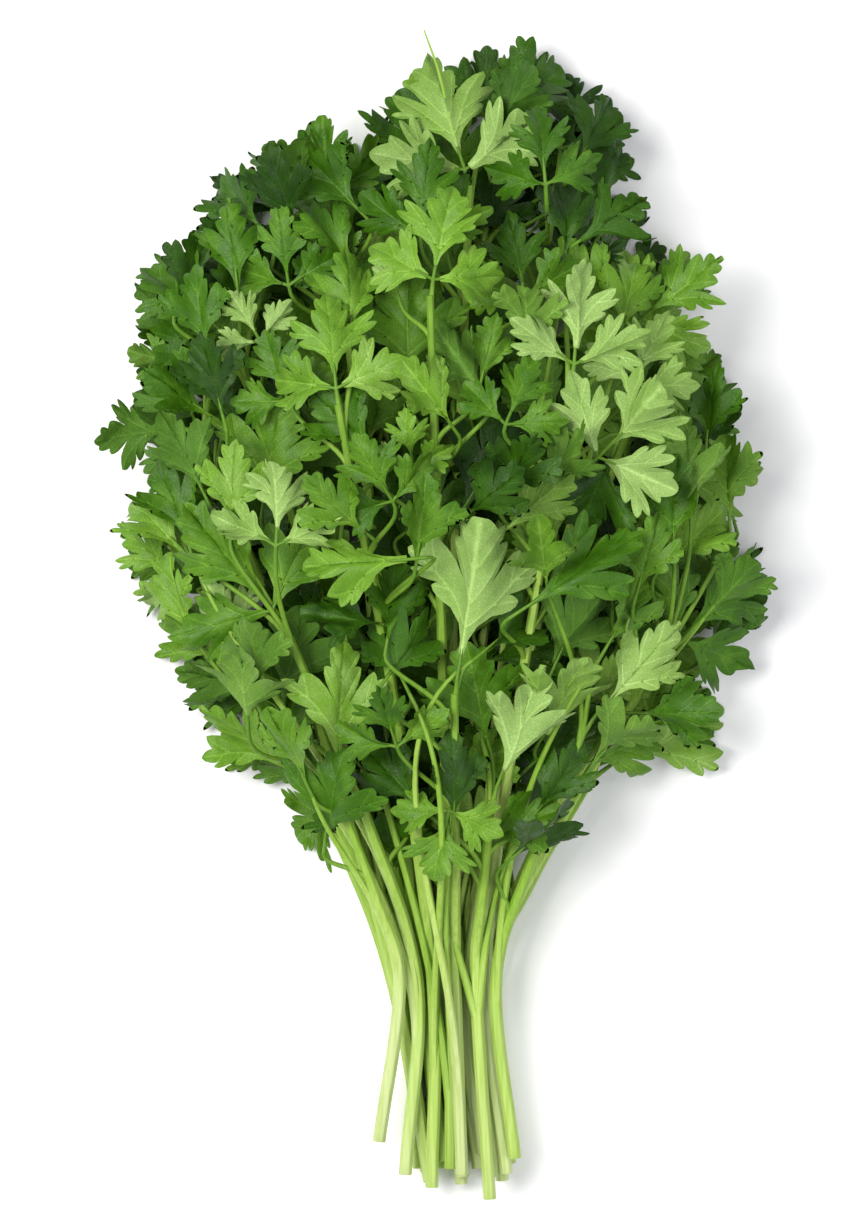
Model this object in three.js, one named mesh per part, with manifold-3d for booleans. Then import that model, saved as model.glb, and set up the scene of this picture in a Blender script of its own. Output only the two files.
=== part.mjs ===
// A bunch of flat-leaf parsley lying on a table: cut leafy stems, each one grown piece, gathered
// at a waist and fanned into a domed crown. Millimetres, +Z up, +Y from the cut ends to the crown.
// The origin is on the table, under the middle of the bunch.
//
// Every leafy stem is one node: a stalk, its side branches and its leaves, fused. Leaves are grown
// one after another, and each is tried at a few angles until it clears all that grew before.

import * as THREE from "three";
import { mergeVertices } from "three/addons/utils/BufferGeometryUtils.js";
import Module from "manifold-3d";

const wasm = await Module();
wasm.setup();

// ---------------------------------------------------------------- driving dimensions

const STALK_RADIUS = 1.5; // a stalk at its cut end
const STALK_TAPER = 0.42; // share of its radius that a stalk loses on the way to its tip
const STALK_SIDES = 6;
const STALK_STATIONS = [0, 0.2, 0.3, 0.36, 0.44, 0.6, 0.8, 1]; // its rings, closest at the waist's bend
const WAIST_Y = -92; // where the bunch is narrowest
const LAYER_PITCH = 3.35; // height between two layers of stalks in the bundle
const BUNDLED = 0.4; // share of a stalk that runs level in the bundle
const SHOULDER = { along: 0.45, across: 0.37, rise: 0.5 }; // where a stalk bends on its way to its tip

const CROWN = { y: 45, width: 86, above: 102, below: 112, base: 6, height: 52 }; // the dome of leaves
const RIM_SHARE = 0.35; // leaves face no further outward than at this height of the dome
const LEVELNESS = 0.6; // how far leaves lie level rather than along the dome
const TIP_LIFT = 0.14; // radians that a leaf rises towards its tip

const BLADE_THICKNESS = 0.7;
const BRANCH_THICKNESS = 1.3;
const BRANCH_WIDTH = 1.4;
const JUNCTION_THICKNESS = 1.1; // where the blades part
const STALKLET = 0.13; // share of a leaf's length that is stalk, before its end blade starts
const SIDE_BLADE = 0.86; // length of a side blade against the end blade's
const SIDE_SPREAD = { least: 0.6, perWidth: 0.55, play: 0.12 }; // radians from end blade to side blade
const BLADE_LEAST = { width: 0.9, arch: 0.1, fold: 0.05 };
const BLADE_PLAY = { tilt: 0.4, width: 0.2, arch: 0.6, fold: 0.3, curl: 0.5 }; // spread of each draw
const BRANCH_BEND = { start: 0.1, out: 0.28, back: 0.36, long: 24 };
const TIP_SINK = 3; // how deep an end leaf's branch starts inside the tip of its stalk
const TIP_REACH = 4; // from the tip of a stalk to the junction of its end leaf

const SAMPLE_GAP = 2.4; // between the sample points that stand for a leaf
const CLEARANCE = 2.7; // between sample points of two leafy stems
const OWN_CLEARANCE = 1.8; // between sample points of two leaves of one stem
const ROOT_ZONE = 9; // round the root of a branch, where it may touch its own stalk
const TRIES = 16; // angles tried for a leaf on one stalk
const STALKS_TRIED = 5; // stalks that a side leaf is tried on
const HEIGHT_STEP = 1.1; // between the heights tried
const SWING = { perTry: 0.1, most: 1.2, yaw: 0.3, pitch: 0.4, roll: 0.5 }; // how far tries turn a leaf
const SHRINK = 0.012; // share of its length that a leaf loses with each try
const SEED = 1; // of all random draws

const ROOTS = { from: 0.36, to: 0.97, step: 0.03, lowestY: -78 }; // where on a stalk branches start
const ROOT_COST = { shortest: 14, wide: 0.75, perWide: 50, narrow: 0.3, perNarrow: 40, down: 2, crowd: 4 };

// Half of a blade's outline, from its base to its tip: [share of length, share of length aside].
const BROAD_OUTLINE = [
  [0.0, 0.03],
  [0.3, 0.29],
  [0.5, 0.53],
  [0.68, 0.5],
  [0.76, 0.36],
  [0.56, 0.13],
  [0.86, 0.22],
];
const END_OUTLINE = [
  [0.0, 0.03],
  [0.32, 0.31],
  [0.54, 0.53],
  [0.75, 0.42],
  [0.58, 0.15],
  [0.87, 0.21],
];
const SIDE_OUTLINE = [
  [0.0, 0.035],
  [0.46, 0.46],
  [0.74, 0.4],
  [0.62, 0.15],
];
const RIB_POINT = 0.44; // where the folds of a blade meet, as a share of its length

// The stalks, in layers from the table up and from left to right. Each row holds the cut end x and
// y, the x at the waist, and the end leaf as in LEAVES.
const LAYERS = [
  [
    [-1.5, -140, -10.2, [-49, -13, 8, -58, 26, 0.7, 1, 1]],
    [3, -139, -5.6, [-50, 30, 7, -79, 23, 0.8, 1, 3]],
    [7.2, -142, -1.2, [-36, 101, 10, -63, 22, 0.8, 1, 3]],
    [11.5, -137, 3.6, [14, 120, 6, -1, 26, 0.7, 1, 1]],
    [15.9, -141, 9.3, [64, 45, 6, 59, 15, 1.0, 1, 3]],
    [19.4, -138, 14.2, [45, -37, 9, 71, 33, 0.75, 1, 1]],
  ],
  [
    [-3.5, -139, -7.6, [-62, 10, 14, -58, 24, 0.9, 1, 3]],
    [0.8, -138, -3.4, [-53, 72, 22, -46, 28, 1.1, 1, 3]],
    [7.2, -143, 2.4, [32, 118, 15, 0, 24, 1.0, 1, 3]],
    [11.5, -139, 7.0, [54, 57, 20, 45, 19, 1.0, 1, 3]],
    [16.5, -141, 12.0, [56, 32, 16, 80, 29, 0.8, 1, 3]],
  ],
  [
    [-0.8, -142.3, -9.5, [-64, 48, 20, -106, 22, 1.0, -1, 3]],
    [2.8, -137, -3.2, [-26, 106, 22, -5, 20, 0.8, 1, 3]],
    [7.5, -141, 2.5, [8, 112, 30, -17, 30, 0.9, -1, 3]],
    [12.5, -135.3, 8.5, [52, 75, 26, 52, 27, 0.9, 1, 3]],
    [17.5, -142, 14.0, [62, -5, 20, 52, 29, 0.9, 1, 3]],
  ],
  [
    [-7, -140.3, -3.9, [-40, 2, 38, -40, 34, 0.8, 1, 3]],
    [-0.3, -143.5, 0, [-24, 57, 50, -6, 23, 1.1, 1, 3]],
    [4.5, -138.8, 4.4, [0, 84, 50, 11, 23, 1.1, 1, 3]],
    [18.5, -140, 13.0, [35, 63, 48, 5, 26, 0.8, -1, 3]],
  ],
  [
    [-13.6, -131.8, -8.4, [-24, -40, 30, 6, 35, 0.7, 1, 1]],
    [7.3, -140, 5.6, [6, -15, 44, 9, 42, 0.76, -1, 1]],
    [14.3, -146.3, 10.8, [16, -42, 33, 18, 33, 0.7, -1, 1]],
    [20.6, -136, 15.8, [41, -24, 30, 43, 30, 0.7, 1, 1]],
  ],
];

// Side leaves, the uppermost first: x, y and z where the blades part, heading in degrees right of
// +Y, length, width against that length, which face looks up (1 the upper, -1 the paler under one),
// and the number of blades.
const LEAVES = [
  [-10, 29, 52, -32, 19, 1.1, 1, 3],
  [-5, 38, 55, 9, 17, 1.0, 1, 3],
  [-2, 15, 54, -96, 31, 0.6, 1, 1],
  [4, -48, 34, -170, 19, 1.2, 1, 3],
  [-39, 18, 47, 6, 24, 0.8, -1, 3],
  [41, 40, 45, 50, 30, 0.9, -1, 3],
  [19, 0, 48, 56, 39, 0.6, 1, 1],
  [46, 44, 45, -150, 26, 1.1, 1, 1],
  [-36, 54, 44, -22, 19, 1.1, 1, 3],
  [11, 55, 50, 15, 22, 0.6, 1, 1],
  [18, 48, 50, 19, 20, 0.9, 1, 3],
  [-8, 78, 46, -21, 16, 0.7, -1, 1],
  [23, 80, 44, 0, 24, 0.9, 1, 3],
  [28, 4, 42, 0, 23, 0.7, 1, 1],
  [-43, 69, 38, -33, 16, 0.8, -1, 3],
  [50, 58, 38, 23, 20, 1.0, -1, 3],
  [28, 108, 36, -2, 22, 1.0, 1, 3],
  [-10, -2, 40, -78, 24, 0.6, 1, 1],
  [-9, -32, 36, 7, 24, 0.8, 1, 3],
  [8, -12, 36, 77, 32, 0.6, 1, 1],
  [-3, 95, 38, 5, 24, 0.8, 1, 3],
  [-24, 83, 38, -8, 19, 0.9, 1, 3],
  [38, 89, 34, -23, 16, 0.9, 1, 3],
  [-43, 45, 36, -64, 20, 0.9, 1, 3],
  [-36, 83, 34, -7, 20, 0.9, 1, 3],
  [-46, -12, 32, -22, 24, 0.6, -1, 1],
  [20, -41, 24, 46, 29, 0.7, 1, 1],
  [-42, 80, 22, -34, 28, 0.75, 1, 1],
  [-6, -52, 26, -5, 23, 0.7, 1, 1],
  [42, 98, 24, 4, 27, 0.6, 1, 1],
  [35, 112, 26, 29, 23, 0.8, 1, 1],
  [-32, -40, 18, -56, 35, 0.7, 1, 1],
  [-62, 63, 13, -74, 15, 1.1, -1, 3],
  [48, 88, 12, 13, 23, 0.8, 1, 3],
  [60, 58, 13, 55, 17, 0.9, 1, 1],
  [57, 30, 8, 103, 23, 0.9, 1, 3],
  [-24, -46, 6, -120, 22, 1.2, 1, 1],
];

// The crown's outline from above, which leaves stay within: x and y, clockwise from its top.
const OUTLINE = [
  [-2, 141], [13, 146], [32, 142], [39, 131], [47, 133], [52, 111], [56, 94], [70, 98], [74, 90],
  [69, 74], [78, 55], [85, 38], [80, 25], [86, 10], [83, -6], [70, -16], [77, -27], [68, -41],
  [42, -42], [29, -63], [-22, -66], [-39, -57], [-38, -45], [-52, -39], [-62, -20], [-71, 1],
  [-83, 24], [-72, 35], [-85, 41], [-76, 60], [-76, 81], [-71, 93], [-57, 104], [-55, 112],
  [-36, 121], [-28, 127], [-19, 121], [-14, 131],
];
const OUTLINE_SLACK = 1.03; // a leaf may reach this far past it, as a share of its size

// Broad leaves that fill the crown from within. They grow where its widest gaps are among the
// leaves below a share of its height, and start at another share of it.
const FILLS = [
  { count: 21, seenBelow: 1.2, startAt: 0.62, length: 31 },
  { count: 7, seenBelow: 0.42, startAt: 0.22, length: 31 },
];
const FILL = { pitch: 5, inset: 0.97, leastGap: 2.4, centre: 0.55, width: 1.05, play: 1.6, flipped: 0.25 };
const NECK_Y = -80; // the inner leaves head away from this point of the middle line

// ---------------------------------------------------------------- small tools

// Random numbers from 0 to 1 that are the same on every run.
function seeded(seed) {
  let state = (seed * 7919 + 104729) % 2147483647;
  return () => {
    state = (state * 48271) % 2147483647;
    return state / 2147483647;
  };
}

// Sum of vectors, each times a number: blend(a, 2, b, -1) is 2a - b.
function blend(...terms) {
  const sum = new THREE.Vector3();
  for (let i = 0; i < terms.length; i += 2) sum.addScaledVector(terms[i], terms[i + 1]);
  return sum;
}

const UP = new THREE.Vector3(0, 0, 1);

const unit = (v) => v.clone().normalize();

// The part of a direction that is square to an axis, as a unit vector.
const squareTo = (v, axis) => unit(blend(v, 1, axis, -v.dot(axis)));

const leftOf = (forward, normal) => new THREE.Vector3().crossVectors(normal, forward);

// Both directions of a frame turned about its normal (yaw), its side (pitch) and itself (roll).
function turned(forward, normal, yaw, pitch, roll) {
  const ahead = blend(forward, Math.cos(yaw), leftOf(forward, normal), Math.sin(yaw));
  const raised = blend(ahead, Math.cos(pitch), normal, Math.sin(pitch));
  const over = blend(normal, Math.cos(pitch), ahead, -Math.sin(pitch));
  return { forward: raised, normal: blend(over, Math.cos(roll), leftOf(raised, over), Math.sin(roll)) };
}

// How far up the crown's dome a place is, from 1 under its top to 0 at its rim and beyond.
function domeShare(x, y) {
  const run = y > CROWN.y ? CROWN.above : CROWN.below;
  return Math.sqrt(Math.max(0, 1 - (x / CROWN.width) ** 2 - ((y - CROWN.y) / run) ** 2));
}

// Whether a place is inside the crown's outline when that is grown by a factor.
function isInside(x, y, factor) {
  const px = x / factor;
  const py = CROWN.y + (y - CROWN.y) / factor;
  return OUTLINE.reduce((inside, [ax, ay], i) => {
    const [bx, by] = OUTLINE[(i + 1) % OUTLINE.length];
    const crosses = ay > py !== by > py && px < ax + ((py - ay) / (by - ay)) * (bx - ax);
    return crosses ? !inside : inside;
  }, false);
}

// The way a leaf faces at a place: between straight up and the outward direction of the dome.
function skyward({ x, y }) {
  const run = y > CROWN.y ? CROWN.above : CROWN.below;
  const share = Math.max(domeShare(x, y), RIM_SHARE);
  const slopeX = (CROWN.height * x) / (CROWN.width ** 2 * share);
  const slopeY = (CROWN.height * (y - CROWN.y)) / (run ** 2 * share);
  return unit(new THREE.Vector3(slopeX * (1 - LEVELNESS), slopeY * (1 - LEVELNESS), 1));
}

// A point pressed no lower than a height above the table.
const pressed = (p, height) => new THREE.Vector3(p.x, p.y, Math.max(p.z, height));

// ---------------------------------------------------------------- stalks

// A leaf to be grown, from its row. Its random draws depend on its place alone.
function planOf([x, y, z, heading, length, width, face, blades]) {
  const at = new THREE.Vector3(x, y, z);
  const seed = Math.floor(Math.abs(31 * x + 17 * y + 7 * z)) + SEED;
  return { at, heading: THREE.MathUtils.degToRad(heading), length, width, face, seed, blades };
}

// A stalk's route: cut end, waist, shoulder and tip on one smooth curve.
function stalkOf([footX, footY, waistX, endLeaf], layer) {
  const rest = STALK_RADIUS * Math.sin(Math.PI / 3) + LAYER_PITCH * layer;
  const plan = planOf(endLeaf);
  const way = leafFrame(plan, 0, () => 0).forward;
  const tip = blend(plan.at, 1, way, -TIP_REACH);
  const curve = new THREE.CatmullRomCurve3(
    [
      new THREE.Vector3(footX, footY, rest),
      new THREE.Vector3(waistX, WAIST_Y, rest),
      new THREE.Vector3(
        waistX + (tip.x - waistX) * SHOULDER.across,
        WAIST_Y + (tip.y - WAIST_Y) * SHOULDER.along,
        rest + (tip.z - rest) * SHOULDER.rise,
      ),
      tip,
    ],
    false,
    "catmullrom",
    0.5,
  );
  const radiusAt = (t) => STALK_RADIUS * (1 - STALK_TAPER * Math.max(0, 1.5 * t - 0.5));
  const pointAt = (t) => pressed(curve.getPoint(t), t < BUNDLED ? rest : 1);
  const directionAt = (t) => {
    const step = 0.01;
    return unit(blend(pointAt(Math.min(t + step, 1)), 1, pointAt(Math.max(t - step, 0)), -1));
  };
  return { plan, radiusAt, pointAt, directionAt, length: curve.getLength(), leaves: [] };
}

// The closed, tapered and faceted body of a stalk.
function stalkMesh(stalk) {
  const points = [];
  const faces = [];
  for (const t of STALK_STATIONS) {
    const along = stalk.directionAt(t);
    const side = unit(new THREE.Vector3().crossVectors(along, UP));
    const up = new THREE.Vector3().crossVectors(side, along);
    const r = stalk.radiusAt(t);
    for (let k = 0; k < STALK_SIDES; k++) {
      const angle = (k / STALK_SIDES) * 2 * Math.PI;
      points.push(blend(stalk.pointAt(t), 1, side, r * Math.cos(angle), up, r * Math.sin(angle)));
    }
  }
  const rings = STALK_STATIONS.length - 1;
  const at = (ring, k) => ring * STALK_SIDES + (k % STALK_SIDES);
  for (let ring = 0; ring < rings; ring++) {
    for (let k = 0; k < STALK_SIDES; k++) {
      faces.push([at(ring, k), at(ring + 1, k), at(ring + 1, k + 1)]);
      faces.push([at(ring, k), at(ring + 1, k + 1), at(ring, k + 1)]);
    }
  }
  for (let k = 1; k < STALK_SIDES - 1; k++) {
    faces.push([at(0, 0), at(0, k), at(0, k + 1)]);
    faces.push([at(rings, 0), at(rings, k + 1), at(rings, k)]);
  }
  return solidOf(points, faces);
}

// ---------------------------------------------------------------- leaves

// A point of a blade: u along it and v aside, both as shares of its length. The blade arches down
// towards its tip, folds up along its rib and curls to either side.
function bladePoint(blade, u, v) {
  const { base, forward, normal, length, width, arch, fold, curls } = blade;
  const along = length * u * (1 - (arch * u) ** 2 / 6);
  const aside = length * width * v;
  const curl = v > 0 ? curls[0] : curls[1];
  const lift = length * (fold * Math.abs(v) - (arch * u * u) / 2 + 2 * curl * v * v);
  const p = blend(base, 1, forward, along, leftOf(forward, normal), aside, normal, lift);
  return pressed(p, BLADE_THICKNESS / 2);
}

// The frame of a leaf, which lies along the dome with its tip a little raised.
function leafFrame(plan, tryNumber, random) {
  const swing = (amount) => (2 * random() - 1) * amount * Math.min(SWING.most, SWING.perTry * tryNumber);
  const sky = skyward(plan.at);
  const ahead = squareTo(new THREE.Vector3(Math.sin(plan.heading), Math.cos(plan.heading), 0), sky);
  const frame = turned(ahead, sky, swing(SWING.yaw), TIP_LIFT + swing(SWING.pitch), swing(SWING.roll));
  return { forward: frame.forward, normal: frame.normal.multiplyScalar(plan.face) };
}

// How far up or down a try moves a leaf: one step up for every two steps down.
function heightShift(tryNumber) {
  const third = Math.floor(tryNumber / 3);
  return HEIGHT_STEP * (tryNumber % 3 === 0 ? third : -2 * third - (tryNumber % 3));
}

// The place and shape of a leaf's end blade (side 0) or of a side blade (side -1 or 1).
function bladeOf(plan, frame, junction, side, length, random) {
  const yaw = side * (SIDE_SPREAD.least + SIDE_SPREAD.perWidth * plan.width + SIDE_SPREAD.play * random());
  const play = (spread) => spread * (random() - 0.5);
  const own = turned(frame.forward, frame.normal, yaw, play(BLADE_PLAY.tilt), play(BLADE_PLAY.tilt));
  const atEnd = side === 0;
  const endOutline = plan.blades === 1 ? BROAD_OUTLINE : END_OUTLINE;
  return {
    ...own,
    side,
    outline: atEnd ? endOutline : SIDE_OUTLINE,
    base: blend(junction, 1, own.forward, BRANCH_WIDTH / 2 + (atEnd ? plan.length * STALKLET : 1)),
    length: atEnd ? length : length * SIDE_BLADE,
    width: plan.width * (atEnd ? 1 : BLADE_LEAST.width + BLADE_PLAY.width * random()),
    arch: BLADE_LEAST.arch + BLADE_PLAY.arch * random(),
    fold: BLADE_LEAST.fold + BLADE_PLAY.fold * random(),
    curls: [play(BLADE_PLAY.curl), play(BLADE_PLAY.curl)],
  };
}

// One try at a leaf on a stalk: its branch, and the place and shape of each blade.
function tryLeaf(plan, stalk, t, tryNumber) {
  const random = seeded(plan.seed + 131 * tryNumber);
  const frame = leafFrame(plan, tryNumber, random);
  const atTip = t === 1;
  const place = blend(plan.at, 1, UP, atTip ? 0 : heightShift(tryNumber));
  const junction = pressed(place, BRANCH_THICKNESS / 2 + 0.3);
  const length = plan.length * (1 - STALKLET) * (1 - SHRINK * tryNumber);
  const sides = plan.blades === 1 ? [0] : [-1, 0, 1];
  const blades = sides.map((side) => bladeOf(plan, frame, junction, side, length, random));
  const path = atTip ? tipPath(stalk, junction) : branchPath(stalk, t, junction, frame.forward);
  return { stalk, frame, junction, blades, path };
}

// Points along the last bit of a stalk, from inside it to the junction of its end leaf.
function tipPath(stalk, junction) {
  return [blend(stalk.pointAt(1), 1, stalk.directionAt(1), -TIP_SINK), junction];
}

// Points along a side branch, from the middle of its stalk to the junction. It leaves more or less
// along the stalk and arrives along the leaf.
function branchPath(stalk, t, junction, forward) {
  const root = stalk.pointAt(t);
  const reach = root.distanceTo(junction);
  const { start, out, back, long } = BRANCH_BEND;
  const leaving = blend(root, 1 - start, junction, start, stalk.directionAt(t), reach * out);
  const arriving = blend(junction, 1, forward, -reach * back);
  const steps = reach > long ? 4 : 3;
  const path = [];
  for (let i = 0; i <= steps; i++) {
    const w = i / steps;
    const m = 1 - w;
    const p = blend(root, m ** 3, leaving, 3 * m * m * w, arriving, 3 * m * w * w, junction, w ** 3);
    path.push(pressed(p, BRANCH_THICKNESS / 2));
  }
  return path;
}

const fullOutline = (half) => [...half.map(([u, v]) => [u, -v]), [1, 0], ...[...half].reverse()];

// Points along a line, its start left out.
function pointsAlong(from, to) {
  const steps = Math.ceil(from.distanceTo(to) / SAMPLE_GAP);
  return Array.from({ length: steps }, (_, i) => blend(from, 1 - (i + 1) / steps, to, (i + 1) / steps));
}

// Points spread over a leaf, for telling whether it is clear of its neighbours.
function samplesOf(leaf) {
  const branch = leaf.path.slice(1).flatMap((p, i) => pointsAlong(leaf.path[i], p));
  const blades = leaf.blades.flatMap((blade) => {
    const rib = bladePoint(blade, RIB_POINT, 0);
    const rim = fullOutline(blade.outline).map(([u, v]) => bladePoint(blade, u, v));
    return rim.flatMap((p, i) => pointsAlong(p, rim[(i + 1) % rim.length])).flatMap((p) => {
      const rings = Math.round(p.distanceTo(rib) / SAMPLE_GAP);
      return Array.from({ length: rings }, (_, i) => blend(p, 1 - i / rings, rib, i / rings));
    });
  });
  return { branch, blades };
}

// What has grown so far, as points that belong to a stalk, kept by the cube of space they are in.
const grown = new Map();
const cellOf = (x) => Math.floor(x / CLEARANCE);
const keyOf = (i, j, k) => `${i} ${j} ${k}`;

function remember(stalk, points) {
  for (const point of points) {
    const key = keyOf(cellOf(point.x), cellOf(point.y), cellOf(point.z));
    if (!grown.has(key)) grown.set(key, []);
    grown.get(key).push({ stalk, point });
  }
}

function neighboursOf(p) {
  const near = [];
  for (let i = -1; i <= 1; i++) {
    for (let j = -1; j <= 1; j++) {
      for (let k = -1; k <= 1; k++) {
        const cell = grown.get(keyOf(cellOf(p.x) + i, cellOf(p.y) + j, cellOf(p.z) + k));
        if (cell) near.push(...cell);
      }
    }
  }
  return near;
}

// Whether a leaf is inside the crown's outline and clear of all that has grown.
function isClear(leaf, { branch, blades }) {
  const root = leaf.path[0];
  if (!blades.every(({ x, y }) => isInside(x, y, OUTLINE_SLACK))) return false;
  return [...branch, ...blades].every((p) =>
    neighboursOf(p).every((g) => {
      const apart = p.distanceTo(g.point);
      if (g.stalk !== leaf.stalk) return apart > CLEARANCE;
      return apart > OWN_CLEARANCE || p.distanceTo(root) < ROOT_ZONE;
    }),
  );
}

// Keep a leaf if it is clear of all that has grown, and tell whether it was.
function keepIfClear(leaf) {
  const samples = samplesOf(leaf);
  if (!isClear(leaf, samples)) return false;
  remember(leaf.stalk, [...samples.branch, ...samples.blades]);
  leaf.stalk.leaves.push({ ...leaf, samples: samples.blades });
  return true;
}

// The best place on each stalk for a branch to a leaf, the best stalks first: near it, turning
// neither sharply nor hardly, not above it, and on a stalk with few leaves.
function rootsFor(plan) {
  const places = [];
  for (const stalk of stalks) {
    let best = { cost: Infinity };
    for (let t = ROOTS.from; t < ROOTS.to; t += ROOTS.step) {
      const root = stalk.pointAt(t);
      if (root.y < ROOTS.lowestY) continue;
      const gap = blend(plan.at, 1, root, -1);
      const turn = gap.angleTo(stalk.directionAt(t));
      const cost =
        Math.max(gap.length(), ROOT_COST.shortest) +
        ROOT_COST.perWide * Math.max(0, turn - ROOT_COST.wide) +
        ROOT_COST.perNarrow * Math.max(0, ROOT_COST.narrow - turn) +
        ROOT_COST.down * Math.max(0, root.z - plan.at.z) +
        ROOT_COST.crowd * stalk.leaves.length;
      if (cost < best.cost) best = { stalk, t, cost };
    }
    if (best.stalk) places.push(best);
  }
  return places.sort((a, b) => a.cost - b.cost);
}

// Grow the end leaf of a stalk at the first angle that is clear.
function growEndLeaf(stalk) {
  for (let tryNumber = 0; tryNumber < 3 * TRIES; tryNumber++) {
    if (keepIfClear(tryLeaf(stalk.plan, stalk, 1, tryNumber))) return;
  }
}

// Grow a side leaf where it fits, on the best of a few stalks, and return it if it grew.
function growSideLeaf(plan) {
  for (const { stalk, t } of rootsFor(plan).slice(0, STALKS_TRIED)) {
    for (let tryNumber = 0; tryNumber < TRIES; tryNumber++) {
      if (keepIfClear(tryLeaf(plan, stalk, t, tryNumber))) return stalk.leaves.at(-1);
    }
  }
  return null;
}

const ceiling = (x, y) => CROWN.base + CROWN.height * domeShare(x, y);

// A broad leaf whose middle comes about over a place, heading away from the neck.
function fillPlan(x, y, { startAt, length }, random) {
  const heading = Math.atan2(x, y - NECK_Y) + FILL.play * (random() - 0.5);
  const atX = x - Math.sin(heading) * length * FILL.centre;
  const atY = y - Math.cos(heading) * length * FILL.centre;
  const face = random() < FILL.flipped ? -1 : 1;
  const degrees = THREE.MathUtils.radToDeg(heading);
  return planOf([atX, atY, startAt * ceiling(x, y), degrees, length, FILL.width, face, 1]);
}

// Grow inner leaves one by one, each in what is then the widest gap seen from above.
function fillGaps(fill) {
  const random = seeded(SEED + 2);
  const places = [];
  for (let x = -CROWN.width; x < CROWN.width; x += FILL.pitch) {
    for (let y = CROWN.y - CROWN.below; y < CROWN.y + CROWN.above; y += FILL.pitch) {
      if (isInside(x, y, FILL.inset)) places.push({ x, y, gap: Infinity });
    }
  }
  const shade = (leaf) => {
    for (const p of leaf.samples) {
      if (p.z > fill.seenBelow * ceiling(p.x, p.y)) continue;
      for (const place of places) {
        place.gap = Math.min(place.gap, Math.hypot(p.x - place.x, p.y - place.y));
      }
    }
  };
  stalks.forEach((stalk) => stalk.leaves.forEach(shade));
  let made = 0;
  while (made < fill.count && places.length) {
    places.sort((a, b) => a.gap - b.gap);
    const { x, y, gap } = places.pop();
    if (gap < FILL.leastGap) break;
    const leaf = growSideLeaf(fillPlan(x, y, fill, random));
    if (!leaf) continue;
    shade(leaf);
    made++;
  }
}

// ---------------------------------------------------------------- bodies of leaves

// The closed body of a leaf: branch, junction and blades as one thin sheet, whose rim is gathered
// on the way round, from the root up the right side and back down the left.
function leafMesh({ path, junction, frame, blades }) {
  const points = [];
  const halves = [];
  const faces = [];
  const rim = [];
  const add = (p, thickness) => {
    points.push(p);
    halves.push(thickness / 2);
    return points.length - 1;
  };
  const half = BRANCH_WIDTH / 2;
  const left = leftOf(frame.forward, frame.normal);
  const corner = (ahead, aside) =>
    add(blend(junction, 1, frame.forward, ahead * half, left, aside * half), JUNCTION_THICKNESS);
  const backRight = corner(-1, -1);
  const frontRight = corner(1, -1);
  const frontLeft = corner(1, 1);
  const backLeft = corner(-1, 1);
  faces.push([backRight, frontRight, frontLeft], [backRight, frontLeft, backLeft]);

  const branch = path.slice(0, -1).map((p, i) => {
    const way = unit(blend(path[i + 1], 1, p, -1));
    const aside = leftOf(way, squareTo(frame.normal, way));
    return [-half, half].map((offset) => add(blend(p, 1, aside, offset), BRANCH_THICKNESS));
  });
  [...branch, [backRight, backLeft]].slice(1).forEach(([right1, left1], i) => {
    const [right0, left0] = branch[i];
    faces.push([right0, right1, left1], [right0, left1, left0]);
  });

  const growBlade = (side, fromRight, fromLeft) => {
    const blade = blades.find((candidate) => candidate.side === side);
    if (!blade) return;
    const at = (u, v) => add(bladePoint(blade, u, v), BLADE_THICKNESS);
    const ring = fullOutline(blade.outline).map(([u, v]) => at(u, v));
    const rib = at(RIB_POINT, 0);
    ring.forEach((p, i) => faces.push([rib, p, ring[(i + 1) % ring.length]]));
    faces.push([fromRight, ring[0], ring.at(-1)], [fromRight, ring.at(-1), fromLeft]);
    rim.push(...ring);
  };
  rim.push(...branch.map(([right]) => right), backRight);
  growBlade(-1, backRight, frontRight);
  rim.push(frontRight);
  growBlade(0, frontRight, frontLeft);
  rim.push(frontLeft);
  growBlade(1, frontLeft, backLeft);
  rim.push(backLeft, ...branch.map(([, onLeft]) => onLeft).reverse());
  return thickened(points, halves, faces, rim);
}

// A closed body from a sheet: both faces split alike, and a wall round the rim.
function thickened(points, halves, faces, rim) {
  const sheet = new THREE.BufferGeometry().setFromPoints(points).setIndex(faces.flat());
  sheet.computeVertexNormals();
  const normals = sheet.getAttribute("normal");
  const count = points.length;
  const shifted = (sign) =>
    points.map((p, i) => {
      const normal = new THREE.Vector3().fromBufferAttribute(normals, i);
      return pressed(blend(p, 1, normal, sign * halves[i]), 0);
    });
  const all = [...shifted(1), ...shifted(-1)];
  const under = faces.map(([a, b, c]) => [a + count, c + count, b + count]);
  const wall = rim.flatMap((a, i) => {
    const b = rim[(i + 1) % rim.length];
    return [
      [a, a + count, b + count],
      [a, b + count, b],
    ];
  });
  return solidOf(all, [...faces, ...under, ...wall]);
}

// ---------------------------------------------------------------- solids and meshes

function solidOf(points, faces) {
  const geometry = new THREE.BufferGeometry().setFromPoints(points).setIndex(faces.flat());
  const merged = mergeVertices(geometry, 1e-4);
  return new wasm.Manifold(
    new wasm.Mesh({
      numProp: 3,
      vertProperties: merged.attributes.position.array,
      triVerts: new Uint32Array(merged.index.array),
    }),
  );
}

function geometryOf(solid) {
  const { numProp, numVert, vertProperties, triVerts } = solid.getMesh();
  const positions = new Float32Array(numVert * 3);
  for (let i = 0; i < numVert; i++) {
    positions.set(vertProperties.subarray(i * numProp, i * numProp + 3), i * 3);
  }
  return new THREE.BufferGeometry()
    .setAttribute("position", new THREE.BufferAttribute(positions, 3))
    .setIndex(new THREE.BufferAttribute(triVerts, 1))
    .toNonIndexed();
}

// ---------------------------------------------------------------- the bunch

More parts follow.
